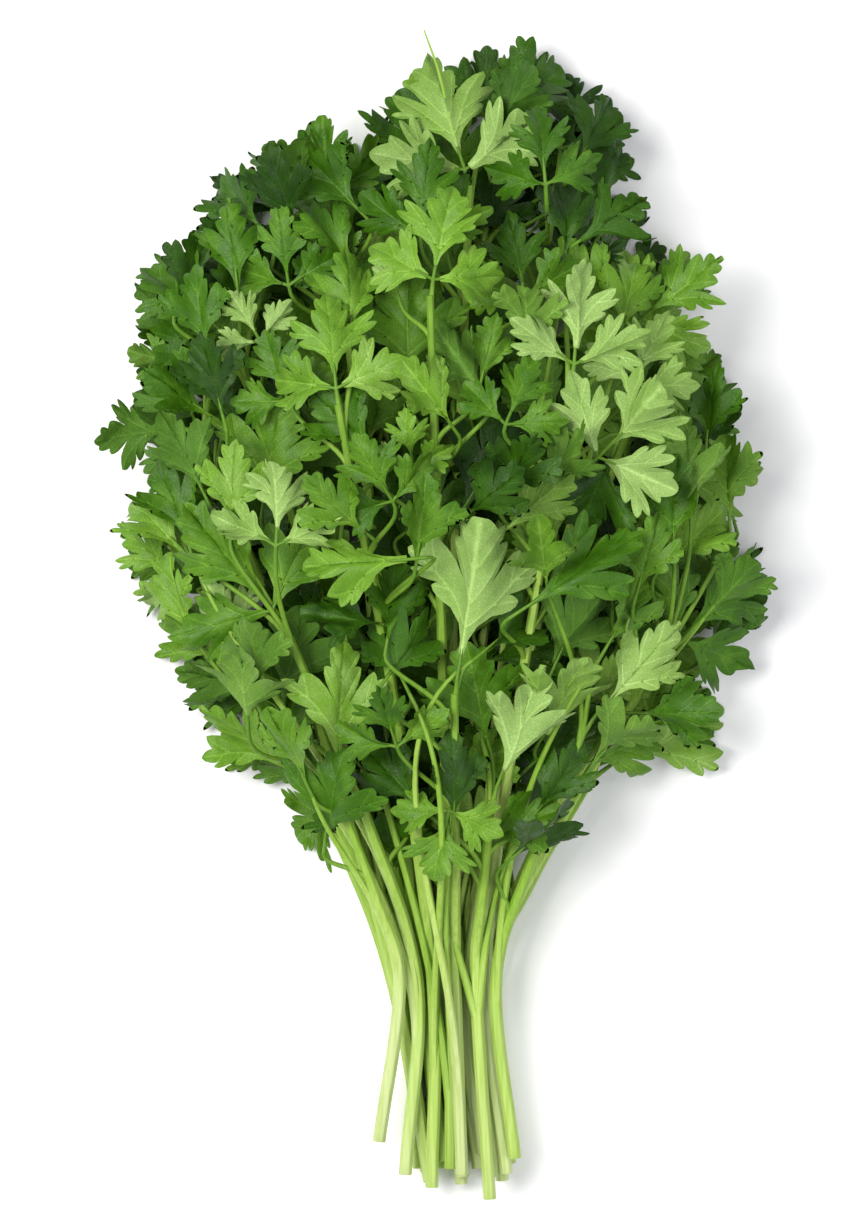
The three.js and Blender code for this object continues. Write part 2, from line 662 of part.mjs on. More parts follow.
const stalks = LAYERS.flatMap((rows, layer) => rows.map((row) => stalkOf(row, layer)));
for (const stalk of stalks) {
  const steps = Math.ceil(stalk.length / 2);
  remember(stalk, Array.from({ length: steps + 1 }, (_, i) => stalk.pointAt(i / steps)));
}
[...stalks].reverse().forEach(growEndLeaf);
LEAVES.map(planOf).forEach(growSideLeaf);
FILLS.forEach(fillGaps);

const GREENS = [
  { name: "deep_leaf", color: 0x3f8020, roughness: 0.55, metalness: 0 },
  { name: "mid_leaf", color: 0x5c9a2c, roughness: 0.55, metalness: 0 },
  { name: "light_leaf", color: 0x86b548, roughness: 0.6, metalness: 0 },
];

const bunch = new THREE.Group();
stalks.forEach((stalk, i) => {
  const solid = stalk.leaves.reduce((whole, leaf) => whole.add(leafMesh(leaf)), stalkMesh(stalk));
  const mesh = new THREE.Mesh(geometryOf(solid), new THREE.MeshStandardMaterial(GREENS[i % GREENS.length]));
  mesh.name = `leafy_stem_${String(i + 1).padStart(2, "0")}`;
  bunch.add(mesh);
});

export default bunch;
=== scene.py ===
"""A bunch of flat-leaf parsley lying on a pale table: its looks, over its solid frame.

The leafy stems are grown here by the same rule as their solids, so that each fine leaf lies where
its solid one does. Inner leaves without solids of their own then close the crown from within. Growth
is worked out in millimetres, and meshes are made in metres.
"""

import logging
import math
from dataclasses import dataclass, field, replace
from enum import Enum
from typing import Callable, Iterable, NamedTuple

import bpy
import numpy as np
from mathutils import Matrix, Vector, geometry


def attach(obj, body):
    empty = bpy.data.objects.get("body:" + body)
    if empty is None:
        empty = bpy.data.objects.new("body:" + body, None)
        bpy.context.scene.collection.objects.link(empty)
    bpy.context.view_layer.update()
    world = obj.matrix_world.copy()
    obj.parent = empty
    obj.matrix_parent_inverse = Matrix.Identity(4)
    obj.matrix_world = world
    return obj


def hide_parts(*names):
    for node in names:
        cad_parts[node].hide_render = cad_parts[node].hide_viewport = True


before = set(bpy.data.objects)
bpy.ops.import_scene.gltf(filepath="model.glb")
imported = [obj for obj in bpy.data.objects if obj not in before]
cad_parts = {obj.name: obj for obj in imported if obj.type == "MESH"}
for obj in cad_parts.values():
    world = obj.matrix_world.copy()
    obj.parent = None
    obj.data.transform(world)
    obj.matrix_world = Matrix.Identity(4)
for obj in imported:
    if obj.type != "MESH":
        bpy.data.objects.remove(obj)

LOG = logging.getLogger("parsley")
MM = 0.001  # a millimetre in scene units
SEED = 1  # of all random draws of the growth
UP = np.array([0.0, 0.0, 1.0])
NOTHING = 1e-9  # what counts as no length or area
WHITE = (1.0, 1.0, 1.0, 1.0)

Array = np.ndarray
Socket = bpy.types.NodeSocket
Rgb = tuple[int, int, int]


class Tone(Enum):
    """How light a leaf is, from 0 for the deepest green to 1 for the palest."""

    DEEP = 0.1
    MID = 0.4
    LIGHT = 0.7
    PALE = 0.95


# ---------------------------------------------------------------- sizes of the bunch


@dataclass(frozen=True)
class StalkSizes:
    """Sizes of the stalks and of the bundle that they run in."""

    radius: float = 1.5
    taper: float = 0.42
    waist_y: float = -92.0
    layer_pitch: float = 3.35
    bundled: float = 0.4
    shoulder_along: float = 0.45
    shoulder_across: float = 0.37
    shoulder_rise: float = 0.5
    tip_reach: float = 4.0
    tip_sink: float = 3.0
    lowest: float = 1.0
    sample_gap: float = 2.0
    bundle_span: float = 3.0
    bundle_slack: float = 0.3
    way_step: float = 0.01
    thinning: tuple[float, float] = (1.5, 0.5)


@dataclass(frozen=True)
class LeafSizes:
    """Sizes of leaves, and the spread of each random draw of their shape."""

    blade_thickness: float = 0.7
    branch_thickness: float = 1.3
    branch_width: float = 1.4
    stalklet: float = 0.13
    side_blade: float = 0.86
    side_spread: tuple[float, float, float] = (0.6, 0.55, 0.12)
    least_width: float = 0.9
    least_arch: float = 0.1
    least_fold: float = 0.05
    tilt_play: float = 0.4
    width_play: float = 0.2
    arch_play: float = 0.6
    fold_play: float = 0.3
    curl_play: float = 0.5
    tip_lift: float = 0.14
    shrink: float = 0.012
    bend_start: float = 0.1
    bend_out: float = 0.28
    bend_back: float = 0.36
    long_branch: float = 24.0
    rib_point: float = 0.44
    junction_lift: float = 0.3
    side_gap: float = 1.0
    place_seeds: tuple[int, int, int] = (31, 17, 7)
    try_seeds: int = 131
    lean_seed: int = 5


@dataclass(frozen=True)
class Crown:
    """The dome of leaves."""

    y: float = 45.0
    width: float = 86.0
    above: float = 102.0
    below: float = 112.0
    base: float = 6.0
    height: float = 52.0
    rim_share: float = 0.35
    levelness: float = 0.6

    def share(self, x: float, y: float) -> float:
        """How far up the dome a place is, from 1 under its top to 0 at its rim and beyond."""
        run = self.above if y > self.y else self.below
        return math.sqrt(max(0.0, 1 - (x / self.width) ** 2 - ((y - self.y) / run) ** 2))

    def ceiling(self, x: float, y: float) -> float:
        """Height of the dome over a place."""
        return self.base + self.height * self.share(x, y)

    def sky(self, at: Array) -> Array:
        """The way a leaf faces at a place: between straight up and outward from the dome.

        Args:
            at: The place.

        Returns:
            The direction, as a unit vector.
        """
        run = self.above if at[1] > self.y else self.below
        share = max(self.share(at[0], at[1]), self.rim_share)
        slope_x = (self.height * at[0]) / (self.width**2 * share)
        slope_y = (self.height * (at[1] - self.y)) / (run**2 * share)
        tilt = 1 - self.levelness
        return unit(np.array([slope_x * tilt, slope_y * tilt, 1.0]))


@dataclass(frozen=True)
class Clearance:
    """Room that leaves keep, and how hard a place is searched for them."""

    sample_gap: float = 2.4
    others: float = 2.7
    own: float = 1.8
    root_zone: float = 9.0
    tries: int = 16
    stalks_tried: int = 5
    height_step: float = 1.1
    swing_per_try: float = 0.1
    most_swing: float = 1.2
    swing: tuple[float, float, float] = (0.3, 0.4, 0.5)
    outline_slack: float = 1.03
    most_back: float = math.inf
    branch_inset: float = 0.0


@dataclass(frozen=True)
class RootCost:
    """What makes a place on a stalk a poor root for a branch."""

    start: float = 0.36
    stop: float = 0.97
    step: float = 0.03
    lowest_y: float = -78.0
    shortest: float = 14.0
    wide: float = 0.75
    per_wide: float = 50.0
    narrow: float = 0.3
    per_narrow: float = 40.0
    down: float = 2.0
    crowd: float = 4.0


STALK = StalkSizes()
LEAF = LeafSizes()
CROWN = Crown()
ROOTS = RootCost()


class LeafRow(NamedTuple):
    """A leaf: where its blades part, heading in degrees right of +Y, size, face, blades and tone. Tones
    are how light leaves look where they lie: their own green, with painted shade on some and painted
    light on others.
    """

    x: float
    y: float
    z: float
    heading: float
    length: float
    width: float
    face: int
    blades: int
    tone: Tone = Tone.MID


class StalkRow(NamedTuple):
    """A stalk: its cut end, its place at the waist and its end leaf."""

    foot_x: float
    foot_y: float
    waist_x: float
    end_leaf: LeafRow


# The stalks, in layers from the table up and from left to right.
LAYERS: tuple[tuple[StalkRow, ...], ...] = (
    (
        StalkRow(-1.5, -140, -10.2, LeafRow(-49, -13, 8, -58, 26, 0.7, 1, 1, Tone.LIGHT)),
        StalkRow(3, -139, -5.6, LeafRow(-50, 30, 7, -79, 23, 0.8, 1, 3)),
        StalkRow(7.2, -142, -1.2, LeafRow(-36, 101, 10, -63, 22, 0.8, 1, 3, Tone.DEEP)),
        StalkRow(11.5, -137, 3.6, LeafRow(14, 120, 6, -1, 26, 0.7, 1, 1, Tone.DEEP)),
        StalkRow(15.9, -141, 9.3, LeafRow(64, 45, 6, 59, 15, 1.0, 1, 3)),
        StalkRow(19.4, -138, 14.2, LeafRow(45, -37, 9, 71, 33, 0.75, 1, 1, Tone.LIGHT)),
    ),
    (
        StalkRow(-3.5, -139, -7.6, LeafRow(-62, 10, 14, -58, 24, 0.9, 1, 3, Tone.LIGHT)),
        StalkRow(0.8, -138, -3.4, LeafRow(-53, 72, 22, -46, 28, 1.1, 1, 3)),
        StalkRow(7.2, -143, 2.4, LeafRow(32, 118, 15, 0, 24, 1.0, 1, 3, Tone.DEEP)),
        StalkRow(11.5, -139, 7.0, LeafRow(54, 57, 20, 45, 19, 1.0, 1, 3)),
        StalkRow(16.5, -141, 12.0, LeafRow(56, 32, 16, 80, 29, 0.8, 1, 3, Tone.LIGHT)),
    ),
    (
        StalkRow(-0.8, -142.3, -9.5, LeafRow(-64, 48, 20, -106, 22, 1.0, -1, 3)),
        StalkRow(2.8, -137, -3.2, LeafRow(-26, 106, 22, -5, 20, 0.8, 1, 3)),
        StalkRow(7.5, -141, 2.5, LeafRow(8, 112, 30, -17, 30, 0.9, -1, 3, Tone.PALE)),
        StalkRow(12.5, -135.3, 8.5, LeafRow(52, 75, 26, 52, 27, 0.9, 1, 3, Tone.LIGHT)),
        StalkRow(17.5, -142, 14.0, LeafRow(62, -5, 20, 52, 29, 0.9, 1, 3)),
    ),
    (
        StalkRow(-7, -140.3, -3.9, LeafRow(-40, 2, 38, -40, 34, 0.8, 1, 3)),
        StalkRow(-0.3, -143.5, 0, LeafRow(-24, 57, 50, -6, 23, 1.1, 1, 3, Tone.LIGHT)),
        StalkRow(4.5, -138.8, 4.4, LeafRow(0, 84, 50, 11, 23, 1.1, 1, 3, Tone.LIGHT)),
        StalkRow(18.5, -140, 13.0, LeafRow(35, 63, 48, 5, 26, 0.8, -1, 3, Tone.PALE)),
    ),
    (
        StalkRow(-13.6, -131.8, -8.4, LeafRow(-24, -40, 30, 6, 35, 0.7, 1, 1, Tone.LIGHT)),
        StalkRow(7.3, -140, 5.6, LeafRow(6, -15, 44, 9, 42, 0.76, -1, 1, Tone.PALE)),
        StalkRow(14.3, -146.3, 10.8, LeafRow(16, -42, 33, 18, 33, 0.7, -1, 1, Tone.PALE)),
        StalkRow(20.6, -136, 15.8, LeafRow(41, -24, 30, 43, 30, 0.7, 1, 1, Tone.PALE)),
    ),
)

# Side leaves, the uppermost first.
LEAVES: tuple[LeafRow, ...] = (
    LeafRow(-10, 29, 52, -32, 19, 1.1, 1, 3),
    LeafRow(-5, 38, 55, 9, 17, 1.0, 1, 3, Tone.LIGHT),
    LeafRow(-2, 15, 54, -96, 31, 0.6, 1, 1, Tone.LIGHT),
    LeafRow(4, -48, 34, -170, 19, 1.2, 1, 3, Tone.LIGHT),
    LeafRow(-39, 18, 47, 6, 24, 0.8, -1, 3, Tone.PALE),
    LeafRow(41, 40, 45, 50, 30, 0.9, -1, 3, Tone.PALE),
    LeafRow(19, 0, 48, 56, 39, 0.6, 1, 1),
    LeafRow(46, 44, 45, -150, 26, 1.1, 1, 1, Tone.DEEP),
    LeafRow(-36, 54, 44, -22, 19, 1.1, 1, 3),
    LeafRow(11, 55, 50, 15, 22, 0.6, 1, 1),
    LeafRow(18, 48, 50, 19, 20, 0.9, 1, 3),
    LeafRow(-8, 78, 46, -21, 16, 0.7, -1, 1, Tone.PALE),
    LeafRow(23, 80, 44, 0, 24, 0.9, 1, 3),
    LeafRow(28, 4, 42, 0, 23, 0.7, 1, 1, Tone.LIGHT),
    LeafRow(-43, 69, 38, -33, 16, 0.8, -1, 3, Tone.PALE),
    LeafRow(50, 58, 38, 23, 20, 1.0, -1, 3, Tone.PALE),
    LeafRow(28, 108, 36, -2, 22, 1.0, 1, 3),
    LeafRow(-10, -2, 40, -78, 24, 0.6, 1, 1, Tone.DEEP),
    LeafRow(-9, -32, 36, 7, 24, 0.8, 1, 3),
    LeafRow(8, -12, 36, 77, 32, 0.6, 1, 1, Tone.DEEP),
    LeafRow(-3, 95, 38, 5, 24, 0.8, 1, 3),
    LeafRow(-24, 83, 38, -8, 19, 0.9, 1, 3),
    LeafRow(38, 89, 34, -23, 16, 0.9, 1, 3, Tone.DEEP),
    LeafRow(-43, 45, 36, -64, 20, 0.9, 1, 3, Tone.DEEP),
    LeafRow(-36, 83, 34, -7, 20, 0.9, 1, 3),
    LeafRow(-46, -12, 32, -22, 24, 0.6, -1, 1, Tone.PALE),
    LeafRow(20, -41, 24, 46, 29, 0.7, 1, 1, Tone.DEEP),
    LeafRow(-42, 80, 22, -34, 28, 0.75, 1, 1, Tone.DEEP),
    LeafRow(-6, -52, 26, -5, 23, 0.7, 1, 1, Tone.DEEP),
    LeafRow(42, 98, 24, 4, 27, 0.6, 1, 1, Tone.DEEP),
    LeafRow(35, 112, 26, 29, 23, 0.8, 1, 1, Tone.DEEP),
    LeafRow(-32, -40, 18, -56, 35, 0.7, 1, 1, Tone.LIGHT),
    LeafRow(-62, 63, 13, -74, 15, 1.1, -1, 3),
    LeafRow(48, 88, 12, 13, 23, 0.8, 1, 3, Tone.DEEP),
    LeafRow(60, 58, 13, 55, 17, 0.9, 1, 1),
    LeafRow(57, 30, 8, 103, 23, 0.9, 1, 3, Tone.LIGHT),
    LeafRow(-24, -46, 6, -120, 22, 1.2, 1, 1),
)

# The crown's outline from above, which leaves stay within: x and y, clockwise from its top.
OUTLINE = np.array(
    [
        [-2, 141], [13, 146], [32, 142], [39, 131], [47, 133], [52, 111], [56, 94], [70, 98],
        [74, 90], [69, 74], [78, 55], [85, 38], [80, 25], [86, 10], [83, -6], [70, -16],
        [77, -27], [68, -41], [42, -42], [29, -63], [-22, -66], [-39, -57], [-38, -45],
        [-52, -39], [-62, -20], [-71, 1], [-83, 24], [-72, 35], [-85, 41], [-76, 60],
        [-76, 81], [-71, 93], [-57, 104], [-55, 112], [-36, 121], [-28, 127], [-19, 121],
        [-14, 131],
    ],
    float,
)  # fmt: skip


@dataclass(frozen=True)
class Fill:
    """Leaves that grow in the widest gaps among the leaves below a share of the crown's height."""

    count: int
    seen_below: float
    start_at: float
    length: float
    pitch: float = 5.0
    inset: float = 0.97
    least_gap: float = 2.4
    centre: float = 0.55
    width: float = 1.05
    play: float = 1.6
    flipped: float = 0.25
    neck_y: float = -80.0
    seed: int = SEED + 2
    seen_above: float = 0.0
    lean: float = 0.0
    tones: tuple[Tone, ...] = (Tone.MID,)


SOLID_TONES = (Tone.MID, Tone.LIGHT, Tone.MID, Tone.MID, Tone.DEEP)
SOLID_FILLS = (
    Fill(21, 1.2, 0.62, 31.0, tones=SOLID_TONES),
    Fill(7, 0.42, 0.22, 31.0, tones=SOLID_TONES),
)

# Half of a solid blade's outline, from its base to its tip: shares of its length along and aside.
BROAD_HALF = (
    (0.0, 0.03), (0.3, 0.29), (0.5, 0.53), (0.68, 0.5), (0.76, 0.36), (0.56, 0.13), (0.86, 0.22),
)  # fmt: skip
END_HALF = ((0.0, 0.03), (0.32, 0.31), (0.54, 0.53), (0.75, 0.42), (0.58, 0.15), (0.87, 0.21))
SIDE_HALF = ((0.0, 0.035), (0.46, 0.46), (0.74, 0.4), (0.62, 0.15))


class Leaflet(Enum):
    """The kinds of blade, by the half outline of their solids."""

    BROAD = BROAD_HALF
    END = END_HALF
    SIDE = SIDE_HALF

    def outline(self) -> Array:
        """The whole outline, from the right of the base round the tip to its left.

        Returns:
            Rows of shares of the blade's length, along it and aside.
        """
        right = [(u, -v) for u, v in self.value]
        left = list(reversed(self.value))
        return np.array([*right, (1.0, 0.0), *left], float)


# ---------------------------------------------------------------- vectors and random draws


class Chance:
    """Random numbers from 0 to 1 that are the same on every run."""

    MODULUS = 2147483647
    FACTOR = 48271
    SEED_FACTOR = 7919
    SEED_START = 104729

    def __init__(self, seed: int) -> None:
        """Starts the row of numbers that belongs to a seed."""
        self.state = (seed * self.SEED_FACTOR + self.SEED_START) % self.MODULUS

    def draw(self) -> float:
        """The next number."""
        self.state = (self.state * self.FACTOR) % self.MODULUS
        return self.state / self.MODULUS

    def about(self, width: float) -> float:
        """A number within half a width of 0."""
        return width * (self.draw() - 0.5)


def unit(v: Array) -> Array:
    """A vector at length 1."""
    return v / math.sqrt(float(v @ v))


def cross(a: Array, b: Array) -> Array:
    """The cross product of two vectors.

    Args:
        a: The first.
        b: The second.

    Returns:
        A vector square to both.
    """
    return np.array(
        [a[1] * b[2] - a[2] * b[1], a[2] * b[0] - a[0] * b[2], a[0] * b[1] - a[1] * b[0]]
    )


def lengths(rows: Array) -> Array:
    """The length of each row's vector."""
    return np.sqrt((rows**2).sum(1))


def distances(points: Array, others: Array) -> Array:
    """How far each point is from each of others, a row for each point."""
    return np.sqrt(((points[:, None, :] - others[None, :, :]) ** 2).sum(2))


def bent(knots: Array, w: Array) -> Array:
    """Points at shares of the way along the curve that three knots bend."""
    w = np.asarray(w, float)[:, None]
    return knots[0] * (1 - w) ** 2 + knots[1] * 2 * w * (1 - w) + knots[2] * w**2


def square_to(v: Array, axis: Array) -> Array:
    """The part of a direction that is square to an axis, as a unit vector."""
    return unit(v - axis * float(v @ axis))


def pressed(points: Array, height: float) -> Array:
    """Points pressed no lower than a height above the table.

    Args:
        points: Points, in rows.
        height: Least height, in millimetres.

    Returns:
        The pressed points.
    """
    kept = np.array(points, float)
    kept[..., 2] = np.maximum(kept[..., 2], height)
    return kept


@dataclass(frozen=True)
class Pose:
    """The way a leaf or blade lies: where it points and what it faces."""

    forward: Array
    normal: Array

    @property
    def left(self) -> Array:
        """The way to its left."""
        return cross(self.normal, self.forward)

    def turned(self, yaw: float, pitch: float, roll: float) -> "Pose":
        """The pose turned about its normal, then its side, then its forward axis.

        Args:
            yaw: Radians to the left.
            pitch: Radians up.
            roll: Radians over its left side.

        Returns:
            The new pose.
        """
        ahead = self.forward * math.cos(yaw) + self.left * math.sin(yaw)
        raised = ahead * math.cos(pitch) + self.normal * math.sin(pitch)
        over = self.normal * math.cos(pitch) - ahead * math.sin(pitch)
        side = cross(over, raised)
        return Pose(raised, over * math.cos(roll) + side * math.sin(roll))


def inside_polygon(points: Array, polygon: Array) -> Array:
    """Whether flat points are inside a polygon.

    Args:
        points: Rows of two numbers.
        polygon: Its corners, in rows.

    Returns:
        A truth value for each point.
    """
    px, py = points[:, 0], points[:, 1]
    inside = np.zeros(len(points), bool)
    for (ax, ay), (bx, by) in zip(polygon, np.roll(polygon, -1, axis=0)):
        if ay != by:
            spans = (ay > py) != (by > py)
            inside ^= spans & (px < ax + ((py - ay) / (by - ay)) * (bx - ax))
    return inside


def inside_crown(points: Array, factor: float) -> Array:
    """Whether places are inside the crown's outline when that is grown by a factor.

    Args:
        points: Rows of x and y, and maybe more.
        factor: How far the outline is grown about the crown's middle.

    Returns:
        A truth value for each row.
    """
    px = points[:, 0] / factor
    py = CROWN.y + (points[:, 1] - CROWN.y) / factor
    return inside_polygon(np.column_stack([px, py]), OUTLINE)


# ---------------------------------------------------------------- plans, stalks and leaves


@dataclass(frozen=True)
class LeafPlan:
    """A leaf to be grown. Its random draws depend on its place alone."""

    at: Array
    heading: float
    length: float
    width: float
    face: int
    blades: int
    tone: Tone
    seed: int
    lean: float = 0.0

    @classmethod
    def of(cls, row: LeafRow) -> "LeafPlan":
        """The plan of a row.

        Args:
            row: The row.

        Returns:
            The plan.
        """
        per_x, per_y, per_z = LEAF.place_seeds
        seed = math.floor(abs(per_x * row.x + per_y * row.y + per_z * row.z)) + SEED
        at = np.array([row.x, row.y, row.z], float)
        heading = math.radians(row.heading)
        return cls(at, heading, row.length, row.width, row.face, row.blades, row.tone, seed)

    def pose(self, room: Clearance, attempt: int, chance: Callable[[], float]) -> Pose:
        """The pose of the leaf, which lies along the dome with its tip a little raised.

        Args:
            room: How far tries turn it.
            attempt: The number of the try, from 0.
            chance: Gives the random draws.

        Returns:
            The pose, with its normal on the side of the face that looks up.
        """
        reach = min(room.most_swing, room.swing_per_try * attempt)
        yaw, pitch, roll = ((2 * chance() - 1) * amount * reach for amount in room.swing)
        sky = CROWN.sky(self.at)
        ahead = square_to(np.array([math.sin(self.heading), math.cos(self.heading), 0.0]), sky)
        if self.lean:
            aside = Chance(self.seed + LEAF.lean_seed)
            pitch += aside.about(self.lean)
            roll += aside.about(self.lean)
        pose = Pose(ahead, sky).turned(yaw, LEAF.tip_lift + pitch, roll)
        return Pose(pose.forward, pose.normal * self.face)


class Stalk:
    """A stalk's route: cut end, waist, shoulder and tip on one smooth curve."""

    ARC_STEPS = 200

    def __init__(self, row: StalkRow, layer: int, number: int) -> None:
        """Lays the stalk of a row.

        Args:
            row: Its cut end, waist and end leaf.
            layer: Its layer in the bundle, from the table up.
            number: Its number in the bunch, from 1.
        """
        self.number = number
        self.plan = LeafPlan.of(row.end_leaf)
        self.rest = STALK.radius * math.sin(math.pi / 3) + STALK.layer_pitch * layer
        way = self.plan.pose(Clearance(), 0, lambda: 0.0).forward
        tip = self.plan.at - way * STALK.tip_reach
        shoulder = [
            row.waist_x + (tip[0] - row.waist_x) * STALK.shoulder_across,
            STALK.waist_y + (tip[1] - STALK.waist_y) * STALK.shoulder_along,
            self.rest + (tip[2] - self.rest) * STALK.shoulder_rise,
        ]
        foot = [row.foot_x, row.foot_y, self.rest]
        knots = np.array([foot, [row.waist_x, STALK.waist_y, self.rest], shoulder, tip], float)
        before = 2 * knots[0] - knots[1]
        after = 2 * knots[-1] - knots[-2]
        self.knots = np.vstack([before, knots, after])
        ends = self.curve(np.linspace(0, 1, self.ARC_STEPS + 1))
        self.length = float(lengths(np.diff(ends, axis=0)).sum())
        self.leaves: list[Leaf] = []

    def curve(self, t: Array) -> Array:
        """Points of the route before it is pressed on what carries it.

        Args:
            t: Shares of the route.

        Returns:
            A point for each share.
        """
        spans = len(self.knots) - 3
        place = np.clip(np.asarray(t, float) * spans, 0, spans)
        span = np.minimum(np.floor(place).astype(int), spans - 1)
        w = (place - span)[:, None]
        a, b, c, d = (self.knots[span + i] for i in range(4))
        out, back = 0.5 * (c - a), 0.5 * (d - b)
        square = -3 * b + 3 * c - 2 * out - back
        cube = 2 * b - 2 * c + out + back
        return b + out * w + square * w**2 + cube * w**3

    def points(self, t: Array) -> Array:
        """Points of the stalk's middle line at shares of its route.

        Args:
            t: The shares.

        Returns:
            A point for each share.
        """
        route = self.curve(t)
        floor = np.where(np.asarray(t) < STALK.bundled, self.rest, STALK.lowest)
        route[:, 2] = np.maximum(route[:, 2], floor)
        return route

    def point(self, t: float) -> Array:
        """One point of the stalk's middle line."""
        return self.points(np.array([t]))[0]

    def directions(self, t: Array) -> Array:
        """Unit directions along the stalk at shares of its route.

        Args:
            t: The shares.

        Returns:
            A direction for each share.
        """
        ahead = self.points(np.minimum(t + STALK.way_step, 1.0))
        behind = self.points(np.maximum(t - STALK.way_step, 0.0))
        gap = ahead - behind
        return gap / lengths(gap)[:, None]

    def radii(self, t: Array) -> Array:
        """The stalk's radius at shares of its route, which thins after its first third.

        Args:
            t: The shares.

        Returns:
            A radius for each share, in millimetres.
        """
        rate, start = STALK.thinning
        return STALK.radius * (1 - STALK.taper * np.maximum(0, rate * np.asarray(t) - start))


@dataclass
class Blade:
    """The place and shape of one blade of a leaf."""

    pose: Pose
    kind: Leaflet
    base: Array
    length: float
    width: float
    arch: float
    fold: float
    curls: tuple[float, float]

    @classmethod
    def drawn(
        cls, plan: LeafPlan, pose: Pose, junction: Array, side: int, length: float, chance: Chance
    ) -> "Blade":
        """A leaf's end blade (side 0) or one of its side blades (side -1 or 1).

        Args:
            plan: The leaf's plan.
            pose: The leaf's pose.
            junction: Where its blades part.
            side: Which blade it is.
            length: Length of the end blade.
            chance: The leaf's random draws.

        Returns:
            The blade.
        """
        least, per_width, play = LEAF.side_spread
        yaw = side * (least + per_width * plan.width + play * chance.draw())
        own = pose.turned(yaw, chance.about(LEAF.tilt_play), chance.about(LEAF.tilt_play))
        at_end = side == 0
        end_kind = Leaflet.BROAD if plan.blades == 1 else Leaflet.END
        start = LEAF.branch_width / 2 + (plan.length * LEAF.stalklet if at_end else LEAF.side_gap)
        width = 1.0 if at_end else LEAF.least_width + LEAF.width_play * chance.draw()
        return cls(
            pose=own,
            kind=end_kind if at_end else Leaflet.SIDE,
            base=junction + own.forward * start,
            length=length if at_end else length * LEAF.side_blade,
            width=plan.width * width,
            arch=LEAF.least_arch + LEAF.arch_play * chance.draw(),
            fold=LEAF.least_fold + LEAF.fold_play * chance.draw(),
            curls=(chance.about(LEAF.curl_play), chance.about(LEAF.curl_play)),
        )

    def points(self, uv: Array) -> Array:
        """Points of the blade, which arches to its tip, folds along its rib and curls aside.

        Args:
            uv: Rows of shares of its length, along it and aside to its left.

        Returns:
            Rows of points.
        """
        u, v = uv[:, 0], uv[:, 1]
        along = self.length * u * (1 - (self.arch * u) ** 2 / 6)
        aside = self.length * self.width * v
        curl = np.where(v > 0, self.curls[0], self.curls[1])
        lift = self.length * (self.fold * np.abs(v) - (self.arch * u * u) / 2 + 2 * curl * v * v)
        flat = self.base + np.outer(along, self.pose.forward) + np.outer(aside, self.pose.left)
        return pressed(flat + np.outer(lift, self.pose.normal), LEAF.blade_thickness / 2)


@dataclass
class Leaf:
    """A leaf on its branch: the pose and place it has grown in."""

    stalk: Stalk
    plan: LeafPlan
    pose: Pose
    junction: Array
    blades: list[Blade]
    bend: Array
    path: Array
    samples: Array = field(default_factory=lambda: np.zeros((0, 3)))
    inner: bool = False

    @classmethod
    def tried(
        cls, plan: LeafPlan, stalk: Stalk, t: float, attempt: int, room: Clearance
    ) -> "Leaf":
        """One try at a leaf on a stalk: its branch, and the place and shape of each blade.

        Args:
            plan: The leaf's plan.
            stalk: The stalk that it is tried on.
            t: Where on the stalk it roots, as a share of the route.
            attempt: The number of the try, from 0.
            room: How tries differ.

        Returns:
            The leaf, which may not be clear of others.
        """
        chance = Chance(plan.seed + LEAF.try_seeds * attempt)
        pose = plan.pose(room, attempt, chance.draw)
        at_tip = t == 1
        # The heights that are tried, in steps: 0, -1, -2, 1, -3, -4, 2 and so on.
        third = attempt // 3
        steps = third if attempt % 3 == 0 else -2 * third - attempt % 3
        shift = 0.0 if at_tip else room.height_step * steps
        junction = pressed(plan.at + UP * shift, LEAF.branch_thickness / 2 + LEAF.junction_lift)
        length = plan.length * (1 - LEAF.stalklet) * (1 - LEAF.shrink * attempt)
        sides = (0,) if plan.blades == 1 else (-1, 0, 1)
        blades = [Blade.drawn(plan, pose, junction, side, length, chance) for side in sides]
        if at_tip:
            way = stalk.directions(np.array([1.0]))[0]
            root = stalk.point(1.0) - way * STALK.tip_sink
            gap = (junction - root) / 3
            bend = np.array([root, root + gap, junction - gap, junction])
            return cls(stalk, plan, pose, junction, blades, bend, np.array([root, junction]))
        root = stalk.point(t)
        reach = float(np.linalg.norm(junction - root))
        way = stalk.directions(np.array([t]))[0]
        leaving = root * (1 - LEAF.bend_start) + junction * LEAF.bend_start
        leaving = leaving + way * reach * LEAF.bend_out
        arriving = junction - pose.forward * min(reach * LEAF.bend_back, room.most_back)
        bend = np.array([root, leaving, arriving, junction])
        steps = 4 if reach > LEAF.long_branch else 3
        path = bezier(bend, np.arange(steps + 1) / steps)
        path = pressed(path, LEAF.branch_thickness / 2)
        return cls(stalk, plan, pose, junction, blades, bend, path)


def bezier(knots: Array, w: Array) -> Array:
    """Points of a cubic curve at shares of its way.

    Args:
        knots: The curve's four knots.
        w: The shares.

    Returns:
        A point for each share.
    """
    w = np.asarray(w, float)[:, None]
    m = 1 - w
    return knots[0] * m**3 + knots[1] * 3 * m * m * w + knots[2] * 3 * m * w * w + knots[3] * w**3


# ---------------------------------------------------------------- growth


def spaced(start: Array, end: Array, gap: float) -> Array:
    """Points along a line, its start left out.

    Args:
        start: Start of the line.
        end: Its end.
        gap: The most between two points.

    Returns:
        The points in order.
    """
    steps = math.ceil(math.sqrt(float(((end - start) ** 2).sum())) / gap)
    w = (np.arange(steps) + 1)[:, None] / max(steps, 1)
    return start * (1 - w) + end * w


